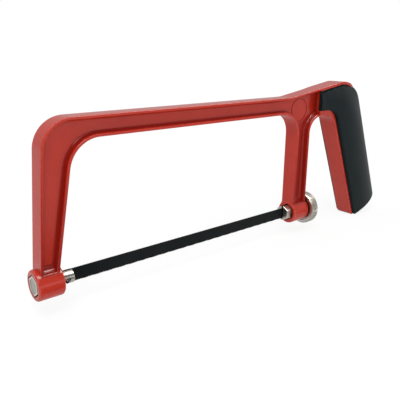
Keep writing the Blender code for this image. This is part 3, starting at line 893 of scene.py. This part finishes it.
def notch(pin_x, lean):
    """Slanted slot that a blade pin drops into, open below."""
    half = PIN_DIAMETER / 2 + GAP
    way = Vector((math.sin(lean), -math.cos(lean)))
    beside = Vector((way.y, -way.x)) * half
    pin = Vector((pin_x, -PIN_DROP))
    end, far = pin - way * half, pin + way * SLIDER_ACROSS_FLATS
    end_round = half * (1.0 - 2 * WELD)
    corners = [(far + beside, 0.0), (end + beside, end_round), (end - beside, end_round),
               (far - beside, 0.0)]
    return plate(corners, -SLIDER_ACROSS_FLATS, SLIDER_ACROSS_FLATS)


def blade_slot(low_x, high_x):
    half = BLADE_THICKNESS / 2 + GAP
    return block((low_x, -half, -SLIDER_ACROSS_FLATS), (high_x, half, SLIDER_ACROSS_FLATS))


def make_front_holder(plating):
    head = bar(HEX_SIDES, hexagon(HEAD_ACROSS_FLATS), HEAD_FRONT_X, HEAD_LENGTH, HEAD_TURN)
    bevel(head, end_edges(head, HEAD_FRONT_X), HEAD_CHAMFER, HEAD_STEPS)
    end = min(head.faces, key=lambda f: f.calc_center_median().x)
    for drawn_in, raised in ((HEAD_RIM, 0.0), (HEAD_LINE, 0.0), (HEAD_SINK, -HEAD_SINK)):
        draw_in(head, end, drawn_in, raised)
    nose = bar(ROUND_SIDES, NOSE_DIAMETER / 2, HEAD_LENGTH - PAST, NOSE_END_X)
    bevel(nose, end_edges(nose, NOSE_END_X), NOSE_ROUND, SMALL_ROUND_STEPS)
    holder = as_object("front_holder", head)
    slot_start = FRONT_PIN_X - BLADE_PAST_PIN - GAP
    worked(holder, (JOIN, nose), (CUT, blade_slot(slot_start, NOSE_END_X + PAST)),
           (CUT, notch(FRONT_PIN_X, -NOTCH_LEAN)))
    return finish_piece(holder, "blade_train", "front_blade_holder", plating)


def threaded_stud():
    """Stud with ridges cut along it, tapered at its free end."""
    shape = bmesh.new()
    radius = STUD_DIAMETER / 2
    start, plain, taper = SLIDER_END_X - PAST, SLIDER_END_X + STUD_PLAIN, STUD_END_X - STUD_TAPER
    line = [(start, radius), (plain, radius)]
    for k in range(int((taper - plain) / THREAD_PITCH)):
        line += [(plain + (k + along) * THREAD_PITCH, radius - deep * THREAD_DEPTH)
                 for along, deep in THREAD_RIDGE]
    line += [(taper, radius), (STUD_END_X, radius - STUD_TAPER), (STUD_END_X, 0.0)]
    tip = shape.verts.new((start, 0.0, 0.0))
    for x, r in line:
        tip = bmesh.ops.extrude_vert_indiv(shape, verts=[tip])["verts"][0]
        tip.co = (x, 0.0, r)
    bmesh.ops.spin(shape, geom=shape.verts[:] + shape.edges[:], cent=(0, 0, 0), axis=(1, 0, 0),
                   angle=math.tau, steps=STUD_SIDES, use_merge=True)
    return shape


def make_rear_holder(plating):
    slider = bar(HEX_SIDES, hexagon(SLIDER_ACROSS_FLATS), SLIDER_FRONT_X, SLIDER_END_X)
    bevel(slider, end_edges(slider, SLIDER_FRONT_X), SLIDER_CHAMFER, SMALL_ROUND_STEPS)
    holder = as_object("rear_holder", slider)
    slot_end = REAR_PIN_X + BLADE_PAST_PIN + GAP
    worked(holder, (JOIN, threaded_stud()), (CUT, blade_slot(SLIDER_FRONT_X - PAST, slot_end)),
           (CUT, notch(REAR_PIN_X, NOTCH_LEAN)))
    return finish_piece(holder, "blade_train", "rear_blade_holder", plating)


def across_saw(pin_x, diameter, length):
    """Round bar across the saw, where a blade pin sits."""
    shape = bmesh.new()
    bmesh.ops.create_cone(shape, cap_ends=True, cap_tris=False, segments=PIN_SIDES,
                          radius1=diameter / 2, radius2=diameter / 2, depth=length,
                          matrix=Matrix.Translation((pin_x, 0.0, -PIN_DROP))
                          @ Matrix.Rotation(math.pi / 2, 4, "X"))
    return shape


def make_blade(steel):
    """Strip with pointed teeth along its lower edge, set to both sides in a slow wave."""
    low_x, high_x = FRONT_PIN_X - BLADE_PAST_PIN, REAR_PIN_X + BLADE_PAST_PIN
    length, rows = high_x - low_x, len(BLADE_ROWS) - 1
    half_teeth = 2 * round(length / TOOTH_PITCH)
    shape = bmesh.new()
    bmesh.ops.create_grid(shape, x_segments=half_teeth, y_segments=rows, size=0.5)
    for vert in shape.verts:
        row = round((vert.co.y + 0.5) * rows)
        step = round((vert.co.x + 0.5) * half_teeth)
        x, z = low_x + length * step / half_teeth, BLADE_ROWS[row] - BLADE_HEIGHT / 2
        if row == 0 and step % 2:
            z += TOOTH_DEPTH - TOOTH_TIP
        is_set = row < 2 and NOSE_END_X + PAST < x < SLIDER_FRONT_X - PAST
        wave = TOOTH_SET * math.sin(math.tau * x / SET_WAVE) if is_set else 0.0
        vert.co = (x, wave - BLADE_THICKNESS / 2, z)
    grown = bmesh.ops.extrude_face_region(shape, geom=shape.faces[:])["geom"]
    bmesh.ops.translate(shape, vec=(0.0, BLADE_THICKNESS, 0.0), verts=verts_of(grown))
    blade = as_object("saw_blade", shape)
    worked(blade, *((CUT, across_saw(pin_x, PIN_DIAMETER + 2 * GAP, 2 * PAST))
                    for pin_x in (FRONT_PIN_X, REAR_PIN_X)))
    return finish_piece(blade, "blade_train", "blade", steel)


def make_pin(name, node, pin_x, steel):
    shape = across_saw(pin_x, PIN_DIAMETER, PIN_LENGTH)
    ends = [e for e in shape.edges if abs(e.verts[0].co.y - e.verts[1].co.y) < WELD]
    bevel(shape, ends, PIN_ROUND, SMALL_ROUND_STEPS)
    return finish_piece(as_object(name, shape), "blade_train", node, steel)


def make_nut(knurled):
    """Turned nut with straight ridges round its rim, chamfered ends and stepped faces."""
    rim, bore = NUT_DIAMETER / 2, STUD_DIAMETER / 2 + GAP
    slope, step_edge = NUT_STEP_SLOPE, rim - NUT_RIM_WIDTH
    face = [(bore, slope), (bore + slope, 0.0), (NUT_HUB, 0.0), (NUT_HUB + slope, NUT_FACE_STEP),
            (step_edge - slope, NUT_FACE_STEP), (step_edge, 0.0), (rim - NUT_CHAMFER, 0.0),
            (rim, NUT_CHAMFER)]
    section = [(NUT_X + sunk, radius) for radius, sunk in face]
    section += [(NUT_X + NUT_LENGTH - sunk, radius) for radius, sunk in reversed(face)]
    shape = bmesh.new()
    chain = [shape.verts.new((x, 0.0, radius)) for x, radius in section]
    loop = [shape.edges.new(pair) for pair in zip(chain, chain[1:] + chain[:1])]
    steps = RIDGE_STEPS * NUT_RIDGES
    bmesh.ops.spin(shape, geom=chain + loop, cent=(0, 0, 0), axis=(1, 0, 0), angle=math.tau,
                   steps=steps, use_merge=True)
    for vert in shape.verts:
        on_rim = math.hypot(vert.co.y, vert.co.z) > rim - WELD
        step = round(math.atan2(vert.co.y, vert.co.z) / math.tau * steps) % RIDGE_STEPS
        if on_rim and step >= RIDGE_STEPS / 2:
            vert.co.yz *= 1.0 - RIDGE_DEPTH / rim
    return finish_piece(as_object("knurled_nut", shape), "tension_nut", "thumb_nut",
                        knurled)


# Finishes


# The middle part of a noise, and of the scratches' noise
NOISE_SPAN = (0.3, 0.7)
MARK_SPAN = (0.25, 0.75)

# Places of a mix node's share, colours and mixed colour among its sockets
MIX_INPUTS = (0, 6, 7)
MIX_RESULT = 2


def link(tree, value, socket):
    """Feeds a socket from another one, or with a plain value."""
    if isinstance(value, bpy.types.NodeSocket):
        tree.links.new(value, socket)
    elif socket.type == "RGBA":
        socket.default_value = (*value, 1.0)
    else:
        socket.default_value = value


def add_node(tree, kind, **values):
    """Adds a node; values feed its sockets by name, or set what it has no such socket for."""
    made = tree.nodes.new(kind)
    for name, value in values.items():
        socket = made.inputs.get(name.replace("_", " "))
        if socket is None:
            setattr(made, name, value)
        else:
            link(tree, value, socket)
    return made


def maths(tree, operation, *values):
    made = add_node(tree, "ShaderNodeMath", operation=operation)
    for socket, value in zip(made.inputs, values):
        link(tree, value, socket)
    return made.outputs[0]


def spread(tree, value, low, high, to_low=0.0, to_high=1.0):
    """Maps a value from one range to another, clamped."""
    return add_node(tree, "ShaderNodeMapRange", Value=value, From_Min=low, From_Max=high,
                    To_Min=to_low, To_Max=to_high).outputs["Result"]


def blend_colours(tree, share, a, b):
    made = add_node(tree, "ShaderNodeMix", data_type="RGBA")
    for place, value in zip(MIX_INPUTS, (share, a, b)):
        link(tree, value, made.inputs[place])
    return made.outputs[MIX_RESULT]


def mark(tree, name):
    return add_node(tree, "ShaderNodeAttribute", attribute_name=name).outputs["Fac"]


def new_group(name, inputs, outputs):
    group = bpy.data.node_groups.new(name, "ShaderNodeTree")
    for label, value in inputs:
        socket = group.interface.new_socket(label, in_out="INPUT", socket_type="NodeSocketFloat")
        socket.default_value = value
    for label in outputs:
        group.interface.new_socket(label, in_out="OUTPUT", socket_type="NodeSocketFloat")
    return group, group.nodes.new("NodeGroupInput"), group.nodes.new("NodeGroupOutput")


def object_place(tree):
    return add_node(tree, "ShaderNodeTexCoord").outputs["Object"]


def noise(tree, where, scale, detail, roughness):
    return add_node(tree, "ShaderNodeTexNoise", Vector=where, Scale=scale, Detail=detail,
                    Roughness=roughness).outputs["Fac"]


# Where the sum of noise and edge starts to be worn, and is worn through
WORN_SPAN = (0.78, 0.98)


def edge_wear_and_highlight_group():
    """Worn patches along the rounded outer edges of a piece, and the plain edge mark, which the red
    paint uses for a painted highlight.
    """
    tree, given, out = new_group("edge_wear_and_highlight", (("Patch Scale", 300.0), ("Spread", 0.5)),
                                 ("Worn", "Edge"))
    edge = mark(tree, "worn_and_highlight_edge")
    patches = noise(tree, object_place(tree), given.outputs["Patch Scale"], detail=4.0,
                    roughness=0.6)
    reach = maths(tree, "MULTIPLY", edge, given.outputs["Spread"])
    worn = spread(tree, maths(tree, "ADD", patches, reach), *WORN_SPAN)
    link(tree, maths(tree, "MULTIPLY", worn, edge), out.inputs["Worn"])
    link(tree, edge, out.inputs["Edge"])
    return tree


def fine_grain_group():
    """Fine even texture, with its height and a slow change of shade from place to place."""
    tree, given, out = new_group(
        "fine_grain", (("Grain Scale", 2000.0), ("Shade Scale", 60.0)), ("Height", "Shade"))
    where = object_place(tree)
    link(tree, noise(tree, where, given.outputs["Grain Scale"], detail=2.0, roughness=0.5),
         out.inputs["Height"])
    link(tree, noise(tree, where, given.outputs["Shade Scale"], detail=4.0, roughness=0.6),
         out.inputs["Shade"])
    return tree


def fine_scratches_group():
    """Hairline marks that run along one way of a polished or turned surface."""
    ways = (("Along X", 40.0), ("Along Y", 2500.0), ("Along Z", 2500.0))
    tree, given, out = new_group("fine_scratches", ways, ("Height",))
    scales = add_node(tree, "ShaderNodeCombineXYZ", X=given.outputs["Along X"],
                      Y=given.outputs["Along Y"], Z=given.outputs["Along Z"])
    drawn = add_node(tree, "ShaderNodeVectorMath", operation="MULTIPLY")
    link(tree, object_place(tree), drawn.inputs[0])
    link(tree, scales.outputs[0], drawn.inputs[1])
    link(tree, noise(tree, drawn.outputs[0], 1.0, detail=3.0, roughness=0.6), out.inputs["Height"])
    return tree


EDGE_WEAR_AND_HIGHLIGHT = edge_wear_and_highlight_group()
FINE_GRAIN = fine_grain_group()
FINE_SCRATCHES = fine_scratches_group()


def use_group(tree, group, **values):
    made = tree.nodes.new("ShaderNodeGroup")
    made.node_tree = group
    for name, value in values.items():
        made.inputs[name.replace("_", " ")].default_value = value
    return made.outputs


def new_finish(name, **values):
    """A finish with a principled shader; values set its plain sockets."""
    made = bpy.data.materials.new(name)
    made.use_nodes = True
    shader = made.node_tree.nodes["Principled BSDF"]
    for label, value in values.items():
        shader.inputs[label.replace("_", " ")].default_value = value
    return made, made.node_tree, shader


def dress(tree, shader, colour, roughness, height, strength, distance):
    """Feeds a finish's shader with its colour and roughness, and with bump from a height."""
    bump = add_node(tree, "ShaderNodeBump", Strength=strength, Distance=distance, Height=height)
    link(tree, colour, shader.inputs["Base Color"])
    link(tree, roughness, shader.inputs["Roughness"])
    link(tree, bump.outputs["Normal"], shader.inputs["Normal"])


# Colours: where the noise's tone is low and high, then worn or rubbed finish, the painted edge
# highlight and the painted shade in hollows
PAINT_REDS = ((0.420, 0.0215, 0.0090), (0.470, 0.0265, 0.0115))
# Lighter red where the paint is worn, also used for the painted edge highlight
WORN_AND_HIGHLIGHT_RED = (0.60, 0.13, 0.095)
# Deep red of the painted shade in the hollows
HOLLOW_SHADE_RED = (0.21, 0.0055, 0.0030)
THIN_WHERE_WORN = 0.25
# Painted highlight: share of the lighter red along every rounded edge
EDGE_HIGHLIGHT_SHARE = 0.07
HOLLOW_SHADE_SHARE = 0.75
ROUGHER_WHERE_WORN = 0.1
RUBBER_BLACKS = ((0.0034, 0.0088, 0.0102), (0.0054, 0.0116, 0.0134))
RUBBED_RUBBER = (0.025, 0.030, 0.032)
RUBBED_SHARE = 0.15
BLADE_BLACKS = ((0.0035, 0.0058, 0.0060), (0.0065, 0.0090, 0.0095))
METAL_SPAN = (0.35, 0.7)
# Painted shade: how deep the hollows of plated metal go, as a share of its dull colour
METAL_HOLLOW_SHADE = 0.75


def red_paint():
    """Glossy stove paint over a casting: slight orange peel, worn patches and a painted highlight on
    edges, and painted shade deep in hollows.
    """
    made, tree, shader = new_finish("red_paint", Metallic=0.0, IOR=1.48)
    peel = use_group(tree, FINE_GRAIN, Grain_Scale=650.0, Shade_Scale=45.0)
    edges = use_group(tree, EDGE_WEAR_AND_HIGHLIGHT, Patch_Scale=420.0, Spread=0.42)
    worn = edges["Worn"]
    red = blend_colours(tree, spread(tree, peel["Shade"], *NOISE_SPAN), *PAINT_REDS)
    # Worn patches, and an even painted highlight along every rounded edge, lighten the red
    worn_and_highlight = maths(tree, "ADD", maths(tree, "MULTIPLY", worn, THIN_WHERE_WORN),
                 maths(tree, "MULTIPLY", edges["Edge"], EDGE_HIGHLIGHT_SHARE))
    red = blend_colours(tree, worn_and_highlight, red, WORN_AND_HIGHLIGHT_RED)
    # Painted shade: the red deepens where the hollow mark is set
    deep = maths(tree, "MULTIPLY", mark(tree, "hollow"), HOLLOW_SHADE_SHARE)
    red = blend_colours(tree, deep, red, HOLLOW_SHADE_RED)
    rough = spread(tree, peel["Shade"], *NOISE_SPAN, to_low=0.17, to_high=0.23)
    rough = maths(tree, "ADD", rough, maths(tree, "MULTIPLY", worn, ROUGHER_WHERE_WORN))
    dress(tree, shader, red, rough, peel["Height"], strength=0.10, distance=0.0002)
    return made


def black_rubber():
    """Moulded rubber with a fine matt grain."""
    made, tree, shader = new_finish("black_rubber", Metallic=0.0, IOR=1.45, Specular_IOR_Level=0.13,
                                    Sheen_Weight=0.14, Sheen_Roughness=0.40)
    grain = use_group(tree, FINE_GRAIN, Grain_Scale=2600.0, Shade_Scale=70.0)
    worn = use_group(tree, EDGE_WEAR_AND_HIGHLIGHT, Patch_Scale=300.0, Spread=0.4)["Worn"]
    black = blend_colours(tree, spread(tree, grain["Shade"], *NOISE_SPAN), *RUBBER_BLACKS)
    rubbed = maths(tree, "MULTIPLY", worn, RUBBED_SHARE)
    black = blend_colours(tree, rubbed, black, RUBBED_RUBBER)
    rough = spread(tree, grain["Height"], *NOISE_SPAN, to_low=0.48, to_high=0.62)
    dress(tree, shader, black, rough, grain["Height"], strength=0.35, distance=0.00025)
    return made


def plated(name, colour, dull, worn_and_highlight_colour, roughness, scratch_ways):
    """Plated or bare metal with hairline marks, rubbed edges brightened as wear and painted
    highlight, and painted shade in hollows.
    """
    made, tree, shader = new_finish(name, Metallic=1.0)
    along_x, along_y, along_z = scratch_ways
    marks = use_group(tree, FINE_SCRATCHES, Along_X=along_x, Along_Y=along_y,
                      Along_Z=along_z)["Height"]
    shade = use_group(tree, FINE_GRAIN, Grain_Scale=1500.0, Shade_Scale=220.0)["Shade"]
    worn = use_group(tree, EDGE_WEAR_AND_HIGHLIGHT, Patch_Scale=600.0, Spread=0.6)["Worn"]
    metal = blend_colours(tree, spread(tree, shade, *METAL_SPAN), colour, dull)
    # Painted shade: hollows darkened towards a share of the dull colour
    hollow_shade_metal = tuple(METAL_HOLLOW_SHADE * part for part in dull)
    metal = blend_colours(tree, mark(tree, "hollow"), metal, hollow_shade_metal)
    # Worn edge patches brightened, partly as wear and partly as a painted highlight
    metal = blend_colours(tree, worn, metal, worn_and_highlight_colour)
    rough = spread(tree, marks, *MARK_SPAN, to_low=roughness - 0.06, to_high=roughness + 0.08)
    dress(tree, shader, metal, rough, marks, strength=0.15, distance=0.0001)
    return made


def black_blade_steel():
    """Blackened spring steel with hairline marks along its length."""
    made, tree, shader = new_finish("black_blade_steel", Metallic=0.0, IOR=1.45,
                                    Specular_IOR_Level=0.14)
    marks = use_group(tree, FINE_SCRATCHES, Along_X=120.0, Along_Y=3000.0, Along_Z=3000.0)["Height"]
    shade = use_group(tree, FINE_GRAIN, Grain_Scale=1800.0, Shade_Scale=90.0)["Shade"]
    black = blend_colours(tree, spread(tree, shade, *NOISE_SPAN), *BLADE_BLACKS)
    rough = spread(tree, marks, *MARK_SPAN, to_low=0.34, to_high=0.5)
    dress(tree, shader, black, rough, marks, strength=0.12, distance=0.0001)
    return made


# Building the saw


nickel = plated("nickel_plate", colour=(0.62, 0.59, 0.52), dull=(0.50, 0.48, 0.42),
                worn_and_highlight_colour=(0.86, 0.81, 0.72), roughness=0.32,
                scratch_ways=(60.0, 2200.0, 2200.0))
knurled = plated("knurled_nickel", colour=(0.70, 0.67, 0.60), dull=(0.58, 0.555, 0.495),
                 worn_and_highlight_colour=(0.78, 0.75, 0.69), roughness=0.32,
                 scratch_ways=(2200.0, 300.0, 300.0))
# Steel kept nearly black so that the pin reads as shaded as the notch round it: painted shade
pin_steel = plated("pin_steel", colour=(0.22, 0.22, 0.21), dull=(0.15, 0.15, 0.145),
                   worn_and_highlight_colour=(0.78, 0.77, 0.75), roughness=0.34,
                   scratch_ways=(900.0, 900.0, 900.0))

make_casting(red_paint())
make_grip(black_rubber())
make_front_holder(nickel)
make_rear_holder(nickel)
make_blade(black_blade_steel())
make_pin("front_pin", "front_blade_pin", FRONT_PIN_X, pin_steel)
make_pin("rear_pin", "rear_blade_pin", REAR_PIN_X, pin_steel)
make_nut(knurled)


# Floor, light and camera


WHITE = (1.0, 1.0, 1.0)
STUDIO_LIGHT = 0.78
MIRRORED_WHITE = 0.56
MIRRORED_FLOOR = 0.68
FLOOR_SIZE = 8.0
FLOOR_GREYS = ((0.86, 0.86, 0.86), (0.90, 0.90, 0.90))
FLOOR_WHITE = 1.02
# How far the floor that the camera sees is plain white: round the saw, and from where to where
FLOOR_GLOW = 0.86
FLOOR_FADE = (0.15, 0.5)


def mix_shaders(tree, share, a, b):
    made = tree.nodes.new("ShaderNodeMixShader")
    for socket, value in zip(made.inputs, (share, a, b)):
        link(tree, value, socket)
    return made.outputs[0]


def shine(tree, kind, strength):
    return add_node(tree, kind, Color=WHITE, Strength=strength).outputs[0]


def bright_where_seen(tree, seen, reflected, lit):
    """Gives the camera one shader, reflections and glass another, and all other light a third."""
    path = add_node(tree, "ShaderNodeLightPath").outputs
    mirrored = maths(tree, "MAXIMUM", path["Is Glossy Ray"], path["Is Transmission Ray"])
    lit = mix_shaders(tree, mirrored, lit, reflected)
    return mix_shaders(tree, path["Is Camera Ray"], lit, seen)


def bare_finish(name):
    """A finish that has only its output yet, with the socket that its shader goes to."""
    made = bpy.data.materials.new(name)
    made.use_nodes = True
    tree = made.node_tree
    tree.nodes.remove(tree.nodes["Principled BSDF"])
    return made, tree, tree.nodes["Material Output"].inputs["Surface"]


def make_floor():
    shape = bmesh.new()
    bmesh.ops.create_grid(shape, x_segments=8, y_segments=8, size=FLOOR_SIZE / 2)
    floor = mesh_object("floor", shape)
    made, tree, surface = bare_finish("pale_floor")
    grain = use_group(tree, FINE_GRAIN, Grain_Scale=400.0, Shade_Scale=3.0)["Shade"]
    pale = blend_colours(tree, grain, *FLOOR_GREYS)
    matt = add_node(tree, "ShaderNodeBsdfDiffuse", Color=pale).outputs[0]
    reach = add_node(tree, "ShaderNodeVectorMath", operation="LENGTH")
    link(tree, object_place(tree), reach.inputs[0])
    white_share = spread(tree, reach.outputs["Value"], *FLOOR_FADE, FLOOR_GLOW, 1.0)
    seen = mix_shaders(tree, white_share, matt, shine(tree, "ShaderNodeEmission", FLOOR_WHITE))
    mirrored = shine(tree, "ShaderNodeEmission", MIRRORED_FLOOR)
    link(tree, bright_where_seen(tree, seen, mirrored, matt), surface)
    floor.data.materials.append(made)


def make_world():
    world = bpy.data.worlds.new("studio")
    bpy.context.scene.world = world
    world.use_nodes = True
    tree = world.node_tree
    tree.nodes.remove(tree.nodes["Background"])
    seen, mirrored, lit = (shine(tree, "ShaderNodeBackground", strength)
                           for strength in (1.0, MIRRORED_WHITE, STUDIO_LIGHT))
    link(tree, bright_where_seen(tree, seen, mirrored, lit),
         tree.nodes["World Output"].inputs["Surface"])


def make_lamp(name, place, size, power):
    """Square soft lamp that faces the middle of the saw."""
    lamp = bpy.data.lights.new(name, "AREA")
    lamp.size = size
    lamp.energy = power
    made = add_object(name, lamp)
    made.location = place
    made.rotation_mode = "QUATERNION"
    middle = (cad_low + cad_high) / 2
    made.rotation_quaternion = (middle - Vector(place)).to_track_quat("-Z", "Y")


# Cards that stand for the studio in reflections: name, brightness and corners
DARK = 0.06
CARDS = (
    ("dark_floor_card", DARK, (
        (-0.085, -0.02, 0.001), (-0.135, -0.015, 0.001), (-0.60, -0.14, 0.001),
        (-0.45, -0.50, 0.001), (-0.085, -0.50, 0.001))),
    ("dark_left_card", DARK, (
        (-0.60, -0.14, 0.0), (-0.45, -0.50, 0.0), (-0.45, -0.50, 0.8), (-0.60, -0.14, 0.8))),
    ("dark_front_card", DARK, (
        (-0.45, -0.50, 0.13), (0.40, -0.50, 0.13), (0.40, -0.50, 0.8), (-0.45, -0.50, 0.8))),
    ("dark_rear_card", DARK, (
        (0.071, -0.035, 0.001), (0.425, -0.338, 0.001), (0.451, -0.308, 0.001),
        (0.081, -0.023, 0.001))),
    ("pale_card", 0.88, (
        (-0.18, 0.012, 0.001), (-0.10, 0.012, 0.001), (-0.10, 0.06, 0.001), (-0.18, 0.06, 0.001))),
    ("bright_card", 12.0, (
        (-0.05, -0.28, 0.65), (0.65, -0.28, 0.65), (0.65, -0.06, 0.65), (-0.05, -0.06, 0.65))),
)


def make_card(name, level, corners):
    """Studio card that is seen only in reflections."""
    shape = bmesh.new()
    bmesh.ops.contextual_create(shape, geom=[shape.verts.new(place) for place in corners])
    card = mesh_object(name, shape)
    made, tree, surface = bare_finish(name)
    link(tree, shine(tree, "ShaderNodeEmission", level), surface)
    card.data.materials.append(made)
    card.visible_camera = card.visible_diffuse = card.visible_shadow = False
    card.visible_transmission = False


VIEW_YAW = math.radians(39.57)
VIEW_PITCH = math.radians(17.11)
VIEW_ROLL = math.radians(-0.40)
VIEW_PLACE = Vector((-69.5, -197.2, 100.2))
VIEW_LENS = 44.847
VIEW_SENSOR = 36.0
VIEW_RANGE = (0.01, 50.0)


def make_camera():
    lens = bpy.data.cameras.new("camera")
    lens.sensor_width = VIEW_SENSOR
    lens.lens = VIEW_LENS
    lens.clip_start, lens.clip_end = VIEW_RANGE
    made = add_object("camera", lens)
    ahead = Vector((math.sin(VIEW_YAW) * math.cos(VIEW_PITCH),
                    math.cos(VIEW_YAW) * math.cos(VIEW_PITCH), -math.sin(VIEW_PITCH)))
    right = Vector((math.cos(VIEW_YAW), -math.sin(VIEW_YAW), 0.0))
    down = ahead.cross(right)
    across = right * math.cos(VIEW_ROLL) + down * math.sin(VIEW_ROLL)
    up = right * math.sin(VIEW_ROLL) - down * math.cos(VIEW_ROLL)
    turned = Matrix((across, up, -ahead)).transposed().to_4x4()
    made.matrix_world = Matrix.Translation(TO_FRAME @ VIEW_PLACE) @ turned
    bpy.context.scene.camera = made


make_floor()
make_world()
for card in CARDS:
    make_card(*card)
make_lamp("top_lamp", place=(-0.30, -0.20, 0.75), size=0.35, power=2.4)
make_lamp("front_lamp", place=(0.12, -0.70, 0.25), size=0.50, power=0.6)
make_camera()
bpy.context.scene.view_settings.view_transform = "Standard"
